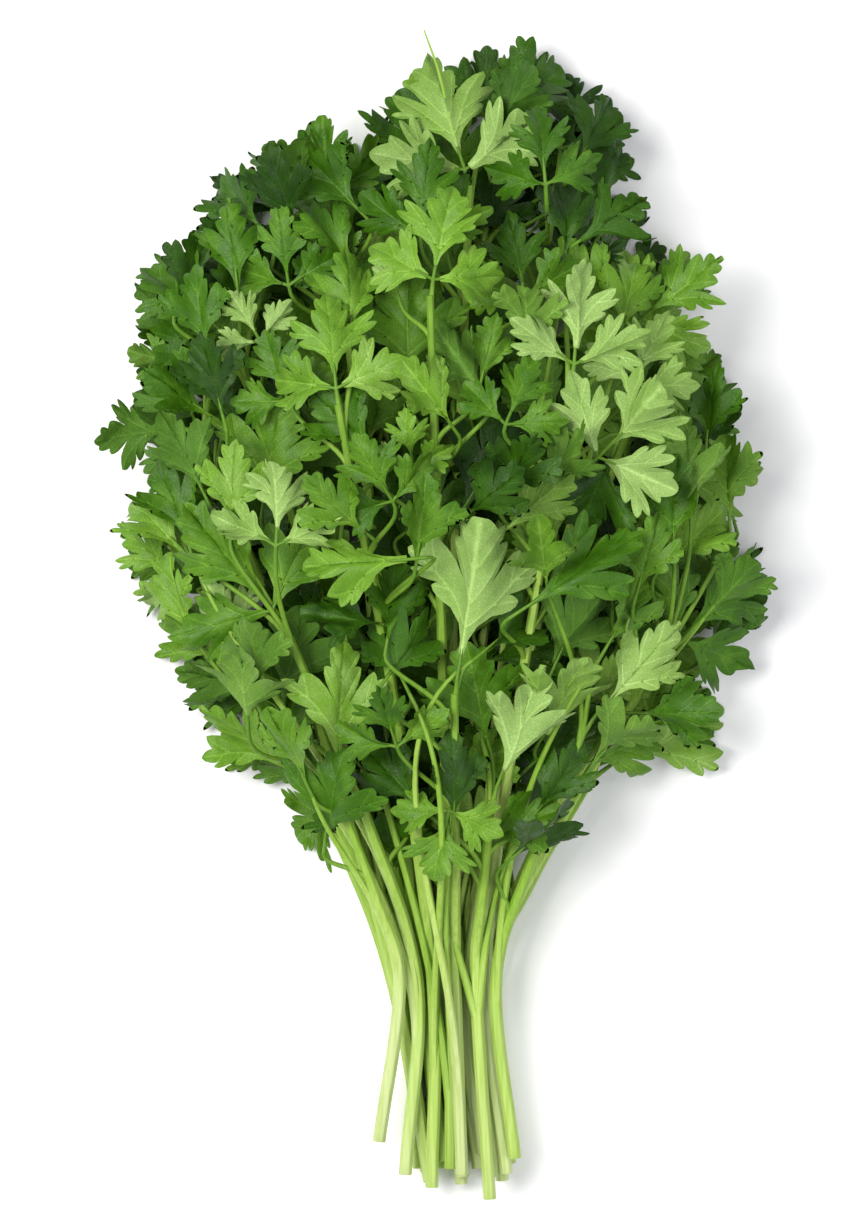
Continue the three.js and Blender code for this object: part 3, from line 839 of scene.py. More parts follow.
def samples_of(leaf: Leaf, gap: float) -> tuple[Array, Array]:
    """Points spread over a leaf's branch and over its blades.

    Args:
        leaf: The leaf.
        gap: Distance between points.

    Returns:
        The points of the branch and those of the blades.
    """
    branch = [spaced(a, b, gap) for a, b in zip(leaf.path, leaf.path[1:])]
    spread = []
    for blade in leaf.blades:
        ring = blade.points(np.vstack([blade.kind.outline(), [[LEAF.rib_point, 0.0]]]))
        rim, rib = ring[:-1], ring[-1]
        edge = np.vstack([spaced(a, b, gap) for a, b in zip(rim, np.roll(rim, -1, axis=0))])
        rings = np.floor(lengths(edge - rib) / gap + 0.5).astype(int)
        owner = np.repeat(np.arange(len(edge)), rings)
        first = np.repeat(np.cumsum(rings) - rings, rings)
        w = ((np.arange(len(owner)) - first) / rings[owner])[:, None]
        spread.append(edge[owner] * (1 - w) + rib * w)
    return np.vstack(branch), np.vstack(spread)


class Growth:
    """Grows leaves on the stalks one by one, each clear of all that grew before."""

    def __init__(self, stalks: list[Stalk]) -> None:
        """Starts from bare stalks.

        Args:
            stalks: The stalks, in the order of their numbers.
        """
        self.stalks = stalks
        self.room = Clearance()
        self.points = np.zeros((0, 3))
        self.owners = np.zeros(0, int)
        steps = int((ROOTS.stop - ROOTS.start) / ROOTS.step) + 2
        places = np.cumsum([ROOTS.start] + [ROOTS.step] * steps)
        self.places = places[places < ROOTS.stop]
        self.roots = [stalk.points(self.places) for stalk in stalks]
        self.ways = [stalk.directions(self.places) for stalk in stalks]
        for stalk in stalks:
            count = math.ceil(stalk.length / STALK.sample_gap)
            self.remember(stalk, stalk.points(np.arange(count + 1) / count))
        self.bundle = self.points

    def remember(self, stalk: Stalk, points: Array) -> None:
        """Keeps points as grown on a stalk."""
        self.points = np.vstack([self.points, points])
        self.owners = np.concatenate([self.owners, np.full(len(points), stalk.number)])

    def is_clear(self, leaf: Leaf, branch: Array, blades: Array) -> bool:
        """Whether a leaf is inside the crown's outline and clear of all that has grown.

        Args:
            leaf: The leaf.
            branch: Points of its branch.
            blades: Points of its blades.

        Returns:
            True if nothing is too near.
        """
        if not inside_crown(blades, self.room.outline_slack).all():
            return False
        if self.room.branch_inset and not self.among_stalks(branch, self.room.branch_inset):
            return False
        own_points = np.vstack([branch, blades])
        reach = max(self.room.others, self.room.own)
        low, high = own_points.min(0) - reach, own_points.max(0) + reach
        near = ((self.points >= low) & (self.points <= high)).all(1)
        if not near.any():
            return True
        grown, owners = self.points[near], self.owners[near]
        apart = distances(own_points, grown)
        mine = owners == leaf.stalk.number
        if (apart[:, ~mine] <= self.room.others).any():
            return False
        rooted = lengths(own_points - leaf.path[0]) < self.room.root_zone
        return not ((apart[:, mine] <= self.room.own) & ~rooted[:, None]).any()

    def among_stalks(self, line: Array, inset: float) -> bool:
        """Whether a line stays inside the crown, and inside the bundle of stalks below it.

        Args:
            line: Points in order.
            inset: Share that the crown's outline is shrunk to.

        Returns:
            True if all points are inside.
        """
        slack = STALK.bundle_slack
        for point in line[~inside_crown(line, inset)]:
            level = np.abs(self.bundle[:, 1] - point[1]) < STALK.bundle_span
            beside = self.bundle[level][:, 0]
            if not len(beside) or not beside.min() - slack < point[0] < beside.max() + slack:
                return False
        return True

    def keep_if_clear(self, leaf: Leaf) -> bool:
        """Keeps a leaf if it is clear of all that has grown, and tells whether it was.

        Args:
            leaf: The leaf.

        Returns:
            True if it was kept.
        """
        branch, blades = samples_of(leaf, self.room.sample_gap)
        if not self.is_clear(leaf, branch, blades):
            return False
        self.remember(leaf.stalk, np.vstack([branch, blades]))
        leaf.samples = blades
        leaf.stalk.leaves.append(leaf)
        return True

    def roots_for(self, plan: LeafPlan) -> list[tuple[Stalk, float]]:
        """The best place on each stalk for a branch to a leaf, the best stalks first.

        Args:
            plan: The leaf's plan.

        Returns:
            Stalks, each with the share of its route where the branch roots.
        """
        found = []
        for stalk, roots, ways in zip(self.stalks, self.roots, self.ways):
            gap = plan.at - roots
            reach = lengths(gap)
            turn = np.arccos(np.clip((gap * ways).sum(1) / reach, -1, 1))
            cost = (
                np.maximum(reach, ROOTS.shortest)
                + ROOTS.per_wide * np.maximum(0, turn - ROOTS.wide)
                + ROOTS.per_narrow * np.maximum(0, ROOTS.narrow - turn)
                + ROOTS.down * np.maximum(0, roots[:, 2] - plan.at[2])
                + ROOTS.crowd * len(stalk.leaves)
            )
            cost[roots[:, 1] < ROOTS.lowest_y] = math.inf
            best = int(np.argmin(cost))
            if cost[best] < math.inf:
                found.append((float(cost[best]), stalk, float(self.places[best])))
        found.sort(key=lambda place: place[0])
        return [(stalk, t) for _, stalk, t in found]

    def grow_end_leaf(self, stalk: Stalk) -> None:
        """Grows the end leaf of a stalk in its first clear pose, with three times the tries.

        Args:
            stalk: The stalk.
        """
        for attempt in range(3 * self.room.tries):
            if self.keep_if_clear(Leaf.tried(stalk.plan, stalk, 1, attempt, self.room)):
                return

    def grow_side_leaf(self, plan: LeafPlan) -> Leaf | None:
        """Grows a side leaf where it fits, on the best of a few stalks.

        Args:
            plan: The leaf's plan.

        Returns:
            The leaf, or None where it fits nowhere.
        """
        for stalk, t in self.roots_for(plan)[: self.room.stalks_tried]:
            for attempt in range(self.room.tries):
                leaf = Leaf.tried(plan, stalk, t, attempt, self.room)
                if self.keep_if_clear(leaf):
                    return leaf
        return None

    def fill_gaps(self, fill: Fill, inner: bool = False) -> int:
        """Grows leaves one by one, each in what is then the widest gap seen from above.

        Args:
            fill: How many, how high and how large.
            inner: Whether the leaves have no solid of their own.

        Returns:
            How many leaves grew.
        """
        chance = Chance(fill.seed)
        xs = np.arange(-CROWN.width, CROWN.width, fill.pitch)
        ys = np.arange(CROWN.y - CROWN.below, CROWN.y + CROWN.above, fill.pitch)
        places = np.array([(x, y) for x in xs for y in ys])
        places = places[inside_crown(places, fill.inset)]
        gaps = np.full(len(places), math.inf)

        def shade(leaf: Leaf) -> None:
            """Brings the gaps down to how near a leaf comes to each place.

            Args:
                leaf: The leaf.
            """
            ceilings = np.array([CROWN.ceiling(p[0], p[1]) for p in leaf.samples])
            shares = leaf.samples[:, 2] / ceilings
            seen = leaf.samples[(shares <= fill.seen_below) & (shares >= fill.seen_above)]
            if len(seen):
                np.minimum(gaps, nearest(places, seen[:, :2]), out=gaps)

        for stalk in self.stalks:
            for leaf in stalk.leaves:
                shade(leaf)
        made = 0
        while made < fill.count and len(places):
            order = np.argsort(gaps, kind="stable")
            places, gaps = places[order], gaps[order]
            (x, y), gap = places[-1], gaps[-1]
            places, gaps = places[:-1], gaps[:-1]
            if gap < fill.least_gap:
                break
            leaf = self.grow_side_leaf(self.fill_plan(float(x), float(y), fill, chance))
            if leaf is None:
                continue
            leaf.inner = inner
            shade(leaf)
            made += 1
        return made

    @staticmethod
    def fill_plan(x: float, y: float, fill: Fill, chance: Chance) -> LeafPlan:
        """A broad leaf whose middle comes about over a place, heading away from the neck.

        Args:
            x: The place, from the left.
            y: The place, towards the crown's top.
            fill: What kind of leaves are grown.
            chance: Gives the random draws.

        Returns:
            The leaf's plan.
        """
        heading = math.atan2(x, y - fill.neck_y) + fill.play * (chance.draw() - 0.5)
        at_x = x - math.sin(heading) * fill.length * fill.centre
        at_y = y - math.cos(heading) * fill.length * fill.centre
        face = -1 if chance.draw() < fill.flipped else 1
        height = fill.start_at * CROWN.ceiling(x, y)
        degrees = math.degrees(heading)
        plan = LeafPlan.of(LeafRow(at_x, at_y, height, degrees, fill.length, fill.width, face, 1))
        tone = fill.tones[plan.seed % len(fill.tones)]
        return replace(plan, tone=tone, lean=fill.lean)


def grown_bunch() -> Growth:
    """Grows the leafy stems as their solids are.

    Returns:
        The growth, with all leaves that have solids.
    """
    stalks = []
    for layer, rows in enumerate(LAYERS):
        for row in rows:
            stalks.append(Stalk(row, layer, len(stalks) + 1))
    growth = Growth(stalks)
    for stalk in reversed(stalks):
        growth.grow_end_leaf(stalk)
    for row in LEAVES:
        growth.grow_side_leaf(LeafPlan.of(row))
    for fill in SOLID_FILLS:
        growth.fill_gaps(fill)
    return growth


# ---------------------------------------------------------------- flat leaflets


@dataclass(frozen=True)
class HalfLeaflet:
    """Half of a toothed leaflet: its wedge, then tooth tips and the notches between them in turn.

    The last notch before the end lobe is its sinus, and the half ends at the leaflet's tip, (1, 0).
    """

    wedge: tuple[tuple[float, float], ...]
    lobe: tuple[tuple[float, float], ...]
    sinus: tuple[float, float]
    end_lobe: tuple[tuple[float, float], ...]
    lobe_vein_start: float = 0.18


HALVES = {
    Leaflet.BROAD: HalfLeaflet(
        wedge=((0.0, 0.02), (0.1, 0.036), (0.2, 0.084), (0.29, 0.185)),
        lobe=(
            (0.42, 0.37), (0.435, 0.295), (0.56, 0.535), (0.55, 0.435),
            (0.7, 0.575), (0.665, 0.44), (0.765, 0.41),
        ),
        sinus=(0.5, 0.115),
        end_lobe=((0.79, 0.24), (0.785, 0.155), (0.93, 0.185), (0.92, 0.1)),
    ),
    Leaflet.END: HalfLeaflet(
        wedge=((0.0, 0.024), (0.12, 0.046), (0.22, 0.106), (0.31, 0.215)),
        lobe=((0.42, 0.385), (0.445, 0.305), (0.585, 0.53), (0.575, 0.415), (0.74, 0.475)),
        sinus=(0.51, 0.12),
        end_lobe=((0.795, 0.235), (0.79, 0.15), (0.925, 0.165), (0.915, 0.092)),
    ),
    Leaflet.SIDE: HalfLeaflet(
        wedge=((0.0, 0.03), (0.14, 0.07), (0.28, 0.185)),
        lobe=((0.42, 0.385), (0.45, 0.3), (0.605, 0.475), (0.6, 0.36), (0.745, 0.385)),
        sinus=(0.54, 0.13),
        end_lobe=((0.835, 0.205), (0.84, 0.118)),
    ),
}  # fmt: skip


MIDRIB = np.array([[0.0, 0.0], [0.5, 0.0], [1.0, 0.0]])


@dataclass(frozen=True)
class PatternSizes:
    """How finely a leaflet is drawn, as shares of its length, and how much copies differ."""

    cell: float
    bulge: float = 0.26
    most_bulge: float = 0.05
    tip_lean: float = 0.72
    edge_points: int = 4
    jitter: float = 0.026
    wedge_jitter: float = 0.1
    end_jitter: float = 0.6
    lopsided: float = 0.2
    side_weight: float = 1.4
    lobe_strength: float = 0.95
    tooth_strength: float = 0.8
    crossing_strength: float = 0.9
    vein_angle: float = 0.55
    vein_bow: tuple[float, float] = (0.035, -0.05)
    branch_bow: float = 0.08
    branch_roots: tuple[float, float, int] = (0.1, 0.95, 18)
    vein_half_width: float = 0.016
    groove_gap: float = 0.8
    edge_gap: float = 0.5
    row_gap: float = 0.87
    point_gap: float = 0.6
    half_span: float = 0.7
    merged: float = 1e-5
    seed: int = 11
    variant_seeds: int = 31
    kind_seeds: int = 7


class Pattern:
    """A flat leaflet cut into small faces that follow its veins and its toothed edge."""

    def __init__(self, kind: Leaflet, sizes: PatternSizes, variant: int) -> None:
        """Draws one variant of a kind of leaflet.

        Args:
            kind: The kind of leaflet.
            sizes: How finely it is drawn.
            variant: Its number among the variants of the kind.
        """
        self.sizes = sizes
        order = list(Leaflet).index(kind)
        seed = sizes.seed + sizes.variant_seeds * variant + sizes.kind_seeds * order
        self.chance = Chance(seed)
        self.half = HALVES[kind]
        left, left_veins = self.side(1.0)
        right, right_veins = self.side(-1.0)
        rim = np.vstack([right, [[1.0, 0.0]], left[::-1]])
        self.cut(rim, [(self.line(MIDRIB), 1.0), *left_veins, *right_veins])

    def side(self, sign: float) -> tuple[Array, list[tuple[Array, float]]]:
        """One half's outline without the leaflet's tip, and its veins.

        Args:
            sign: 1 for the left half, -1 for the right.

        Returns:
            Points from base to tip, and lines with their strength.
        """
        size = 1 + self.chance.about(self.sizes.lopsided)

        def placed(point: tuple[float, float], play: float) -> Array:
            """A corner of the half, moved a little at random."""
            jitter = [self.chance.about(2 * play), self.chance.about(2 * play)]
            return np.array(point) * [1.0, size] + jitter

        play = self.sizes.jitter
        wedge = [placed(point, self.sizes.wedge_jitter * play) for point in self.half.wedge]
        lobe = [placed(point, play) for point in self.half.lobe]
        sinus = placed(self.half.sinus, play)
        end_lobe = [placed(point, self.sizes.end_jitter * play) for point in self.half.end_lobe]
        corners = [*lobe, sinus, *end_lobe, np.array([1.0, 0.0])]
        rising = [True] + [False, True] * (len(corners) // 2)
        outline = [*wedge]
        for start, end, to_tip in zip([wedge[-1], *corners], corners, rising):
            outline.extend(self.tooth_edge(start, end, to_tip))
        outline.pop()
        veins = self.veins(lobe[::2], end_lobe[::2])
        mirror = np.array([1.0, sign])
        return np.array(outline) * mirror, [(line * mirror, strength) for line, strength in veins]

    def tooth_edge(self, start: Array, end: Array, to_tip: bool) -> Iterable[Array]:
        """Points of a rounded edge between a tooth's tip and a notch, its start left out.

        Args:
            start: One end.
            end: The other.
            to_tip: Whether the tip is at its end.

        Returns:
            The points in order.
        """
        gap = end - start
        reach = math.hypot(*gap)
        outward = np.array([-gap[1], gap[0]])
        lean = self.sizes.tip_lean if to_tip else 1 - self.sizes.tip_lean
        bulge = min(self.sizes.bulge, self.sizes.most_bulge / reach)
        middle = start + gap * lean + outward * bulge
        count = max(2, min(self.sizes.edge_points, math.ceil(reach / self.sizes.cell) + 1))
        for i in range(1, count + 1):
            w = i / count
            yield start * (1 - w) ** 2 + middle * 2 * w * (1 - w) + end * w**2

    def line(self, knots: Array) -> Array:
        """Points of the curve that three knots bend, about a cell apart."""
        reach = math.hypot(*(knots[2] - knots[0]))
        return bent(knots, np.linspace(0, 1, max(2, math.ceil(reach / self.sizes.cell)) + 1))

    def veins(self, lobe_tips: list[Array], end_tips: list[Array]) -> list[tuple[Array, float]]:
        """The veins of one half: one along its lobe, and one to each tooth.

        Args:
            lobe_tips: Tips of the lobe's teeth, from base to sinus.
            end_tips: Tips of the end lobe's teeth.

        Returns:
            Lines with their strength.
        """
        start = np.array([self.half.lobe_vein_start, 0.0])
        main = max(lobe_tips, key=lambda tip: float(tip[0] + self.sizes.side_weight * tip[1]))
        middle = (start + main) / 2 + np.array(self.sizes.vein_bow)
        lobe_vein = np.array([start, middle, main])
        branches = [self.branch_line(lobe_vein, tip) for tip in lobe_tips if tip is not main]
        branches += [self.branch_line(MIDRIB, tip) for tip in end_tips]
        lines = [(self.line(lobe_vein), self.sizes.lobe_strength)]
        return lines + [(line, self.sizes.tooth_strength) for line in branches]

    def branch_line(self, knots: Array, tip: Array) -> Array:
        """A side vein that leaves a main one at a steady angle and ends in a tooth.

        Args:
            knots: The main vein's three knots.
            tip: The tooth's tip.

        Returns:
            Points from root to tip.
        """
        roots = bent(knots, np.linspace(*self.sizes.branch_roots))
        ways = np.gradient(roots, axis=0)
        gaps = tip - roots
        turns = np.abs(np.arctan2(cross2(ways.T, gaps.T), (ways * gaps).sum(1)))
        best = int(np.argmin(np.abs(turns - self.sizes.vein_angle)))
        root, along = roots[best], ways[best] / math.hypot(*ways[best])
        middle = (root + tip) / 2 + along * self.sizes.branch_bow * math.hypot(*gaps[best])
        return self.line(np.array([root, middle, tip]))

    def cut(self, rim: Array, veins: list[tuple[Array, float]]) -> None:
        """Cuts the leaflet into faces along its veins.

        Args:
            rim: Its outline, round once.
            veins: Lines with their strength.
        """
        points = [rim]
        edges = [(i, (i + 1) % len(rim)) for i in range(len(rim))]
        strength = [np.zeros(len(rim))]
        count = len(rim)
        for line, weight in veins:
            inner = line[inside_polygon(line, rim)]
            if len(inner) < 2:
                continue
            points.append(inner)
            strength.append(np.full(len(inner), weight))
            edges += [(count + i, count + i + 1) for i in range(len(inner) - 1)]
            count += len(inner)
        vein_points = np.vstack(points[1:])
        flanks = np.vstack([self.flanks(line) for line, _ in veins])
        flanks = flanks[inside_polygon(flanks, rim)]
        width = self.sizes.vein_half_width
        clear = nearest(flanks, vein_points) > self.sizes.groove_gap * width
        flanks = flanks[clear & (nearest(flanks, rim) > self.sizes.edge_gap * width)]
        points.append(flanks)
        points.append(self.filling(np.vstack(points), rim))
        strength.append(np.zeros(len(points[-2]) + len(points[-1])))
        flat = np.vstack(points)
        weights = np.concatenate(strength)
        corners = [Vector(point) for point in flat.tolist()]
        merged = self.sizes.merged
        made, _, faces, origins, *_ = geometry.delaunay_2d_cdt(corners, edges, [], 1, merged)
        self.uv = np.array([list(p) for p in made])
        crossing = self.sizes.crossing_strength
        strengths = [max((weights[i] for i in found), default=crossing) for found in origins]
        self.vein = np.array(strengths)
        faces = np.array([face for face in faces if len(face) == 3], int)
        a, b, c = (self.uv[faces[:, i]] for i in range(3))
        signed = cross2((b - a).T, (c - a).T)
        faces[signed < 0] = faces[signed < 0][:, ::-1]
        self.faces = faces[np.abs(signed) > NOTHING]
        self.find_rim()

    def flanks(self, line: Array) -> Array:
        """Points beside a vein, where its groove meets the leaf.

        Args:
            line: The vein's points.

        Returns:
            Points on both sides of it.
        """
        along = np.gradient(line, axis=0)
        along /= lengths(along)[:, None]
        aside = np.column_stack([-along[:, 1], along[:, 0]]) * self.sizes.vein_half_width
        return np.vstack([line + aside, line - aside])

    def filling(self, drawn: Array, rim: Array) -> Array:
        """Points spread evenly between the lines already drawn.

        Args:
            drawn: The points already there.
            rim: The leaflet's outline.

        Returns:
            The points.
        """
        cell, half_span = self.sizes.cell, self.sizes.half_span
        us = np.arange(0, 1, cell * self.sizes.row_gap)
        vs = np.arange(-half_span, half_span, cell)
        grid = np.array([(u, v + (i % 2) * cell / 2) for i, u in enumerate(us) for v in vs])
        grid = grid[inside_polygon(grid, rim)]
        return grid[nearest(grid, drawn) > self.sizes.point_gap * cell]

    def find_rim(self) -> None:
        """Finds the edges that only one face has, and numbers the points of the under side."""
        sides = np.vstack([self.faces[:, [0, 1]], self.faces[:, [1, 2]], self.faces[:, [2, 0]]])
        pairs, counts = np.unique(np.sort(sides, axis=1), axis=0, return_counts=True)
        self.rim_edges = pairs[counts == 1]
        self.on_rim = np.zeros(len(self.uv), bool)
        self.on_rim[self.rim_edges.ravel()] = True
        self.under = np.arange(len(self.uv))
        self.under[~self.on_rim] = len(self.uv) + np.arange((~self.on_rim).sum())


def cross2(a: Array, b: Array) -> Array:
    """The cross product of flat vectors."""
    return a[0] * b[1] - a[1] * b[0]


def nearest(points: Array, others: Array) -> Array:
    """How far each point is from the nearest of others."""
    return distances(points, others).min(1)


# ---------------------------------------------------------------- meshes


def new_object(name: str, data: bpy.types.ID) -> bpy.types.Object:
    """An object in the scene, at the origin, that holds some data.

    Args:
        name: Its name.
        data: What it holds.

    Returns:
        The object.
    """
    made = bpy.data.objects.new(name, data)
    bpy.context.scene.collection.objects.link(made)
    return made


class MeshParts:
    """Points, faces and attributes that become one mesh."""

    ATTRIBUTES = ("tone", "vein", "leaf", "reach")

    def __init__(self) -> None:
        """Starts with nothing."""
        self.points: list[Array] = []
        self.faces: list[Array] = []
        self.slots: list[Array] = []
        self.sharp: list[Array] = []
        self.values: dict[str, list[Array]] = {name: [] for name in self.ATTRIBUTES}
        self.count = 0

    def add(self, points: Array, faces: Array, slots: Array, sharp: Array, **values: Array) -> None:
        """Adds a closed body.

        Args:
            points: Its points, in millimetres.
            faces: Rows of three points.
            slots: The material slot of each face.
            sharp: Pairs of points that a sharp edge joins.
            **values: A number for each point, by attribute.
        """
        self.points.append(points)
        self.faces.append(faces + self.count)
        self.slots.append(slots)
        self.sharp.append(sharp + self.count)
        for name in self.ATTRIBUTES:
            self.values[name].append(np.broadcast_to(values[name], len(points)))
        self.count += len(points)

    def build(self, name: str, materials: list[bpy.types.Material]) -> bpy.types.Object:
        """The object, at the origin, in metres.

        Args:
            name: Its name.
            materials: Its materials, by slot.

        Returns:
            The object.
        """
        mesh = bpy.data.meshes.new(name)
        faces = np.vstack(self.faces)
        mesh.vertices.add(self.count)
        mesh.vertices.foreach_set("co", (np.vstack(self.points) * MM).astype(np.float32).ravel())
        mesh.loops.add(faces.size)
        mesh.loops.foreach_set("vertex_index", faces.astype(np.int32).ravel())
        mesh.polygons.add(len(faces))
        mesh.polygons.foreach_set("loop_start", np.arange(0, faces.size, 3, dtype=np.int32))
        mesh.polygons.foreach_set("material_index", np.concatenate(self.slots).astype(np.int32))
        mesh.update(calc_edges=True)
        for key, parts in self.values.items():
            layer = mesh.attributes.new(key, "FLOAT", "POINT")
            layer.data.foreach_set("value", np.concatenate(parts).astype(np.float32))
        mesh.shade_smooth()
        self.mark_sharp(mesh)
        for material in materials:
            mesh.materials.append(material)
        return new_object(name, mesh)

    def mark_sharp(self, mesh: bpy.types.Mesh) -> None:
        """Marks the rims of the blades as sharp, so that each face keeps its own shading.

        Args:
            mesh: The mesh, made from these parts.
        """
        ends = np.zeros(len(mesh.edges) * 2, np.int32)
        mesh.edges.foreach_get("vertices", ends)
        keys = np.sort(ends.reshape(-1, 2), axis=1).astype(np.int64)
        wanted = np.sort(np.vstack(self.sharp), axis=1).astype(np.int64)
        numbers = keys[:, 0] * self.count + keys[:, 1]
        found = np.isin(numbers, wanted[:, 0] * self.count + wanted[:, 1])
        layer = mesh.attributes.new("sharp_edge", "BOOLEAN", "EDGE")
        layer.data.foreach_set("value", found)


@dataclass(frozen=True)
class BladeSkin:
    """The fine shape of a blade on its solid one: thin, sunk along its veins, pleated and wavy."""

    half_thickness: float = 0.14
    vein_depth: float = 0.22
    vein_full_at: float = 26.0
    vein_range: tuple[float, float] = (0.5, 1.2)
    pleat: float = 0.115
    pleat_turns: float = 3.4
    pleat_growth: float = 1.5
    base_shift: float = 0.02
    swell_waves: tuple[float, float] = (5.2, 5.8)
    swell_share: float = 0.5
    droop: float = 0.1
    droop_start: float = 0.5
    ripple: float = 0.4
    ripple_length: float = 3.4
    ripple_waves: tuple[float, float] = (3.1, 3.7)
    ripple_start: float = 0.45
    ripple_run: float = 0.4
    lowest: float = 0.35

    def add(
        self, parts: MeshParts, blade: Blade, pattern: Pattern, tone: float, chance: Chance
    ) -> None:
        """Adds a blade to a mesh.

        Args:
            parts: The mesh.
            blade: The blade.
            pattern: The flat leaflet that it is drawn from.
            tone: How light it is.
            chance: Random draws for its waves.
        """
        uv = pattern.uv
        sheet = blade.points(uv)
        normals = self.normals(sheet, pattern.faces)
        lift = self.lift(uv, blade.length, [2 * math.pi * chance.draw() for _ in range(4)])
        outer = np.clip(uv[:, 0] - self.droop_start, 0, 1)
        lift += self.droop * blade.length * chance.about(1.0) * outer**2
        depth = np.clip(blade.length / self.vein_full_at, *self.vein_range)
        lift -= self.vein_depth * pattern.vein * depth
        sheet = pressed(sheet + normals * lift[:, None], self.lowest)
        normals = self.normals(sheet, pattern.faces)
        thick = np.where(pattern.on_rim, 0.0, self.half_thickness)[:, None]
        inner = ~pattern.on_rim
        points = np.vstack([sheet + normals * thick, (sheet - normals * thick)[inner]])
        under = pattern.under[pattern.faces][:, ::-1]

        def both(values: Array) -> Array:
            """Values for the points of both sides."""
            return np.concatenate([values, values[inner]])

        parts.add(
            points,
            np.vstack([pattern.faces, under]),
            np.repeat([0, 1], len(pattern.faces)),
            pattern.rim_edges,
            tone=np.array(tone),
            vein=both(pattern.vein),
            leaf=np.array(chance.draw()),
            reach=both(np.hypot(uv[:, 0], uv[:, 1])),
        )

    def lift(self, uv: Array, length: float, phases: list[float]) -> Array:
        """How far the blade's waves raise its points.

        Args:
            uv: Places on the flat leaflet.
            length: Length of the blade.
            phases: Where each wave starts, in radians.

        Returns:
            Heights in millimetres.
        """
        u, v = uv[:, 0], uv[:, 1]
        reach = np.hypot(u, v)
        angle = np.arctan2(v, u + self.base_shift)
        pleats = np.sin(self.pleat_turns * angle * 2 + phases[0]) * reach**self.pleat_growth
        swell_u, swell_v = self.swell_waves
        swell = np.sin(swell_u * u + phases[1]) * np.sin(swell_v * v + phases[2]) * self.swell_share
        count = length / self.ripple_length
        ripple_u, ripple_v = self.ripple_waves
        frill = np.sin(count * ripple_u * u + phases[3]) * np.sin(count * ripple_v * v + phases[1])
        outer = np.clip((reach - self.ripple_start) / self.ripple_run, 0, 1)
        waves = self.pleat * length * (pleats + swell)
        return waves + self.ripple * outer * frill

    @staticmethod
    def normals(points: Array, faces: Array) -> Array:
        """Unit normals of a sheet at its points.

        Args:
            points: The points.
            faces: Rows of three of them.

        Returns:
            A normal for each point.
        """
        a, b, c = (points[faces[:, i]] for i in range(3))
        flat = np.cross(b - a, c - a)
        total = np.zeros_like(points)
        for i in range(3):
            np.add.at(total, faces[:, i], flat)
        return total / np.maximum(lengths(total), NOTHING)[:, None]


# ---------------------------------------------------------------- stalks and branches


@dataclass(frozen=True)
class StemRoute:
    """A route that a round stem follows, with its radius and how far it is from the cut end."""

    points: Array
    radii: Array
    along: Array
    shade: float = 0.5


@dataclass(frozen=True)
class StemSection:
    """The section of a stem: how many sides and ridges it has, and how high a ridge is."""

    sides: int
    ridges: int
    depth: float


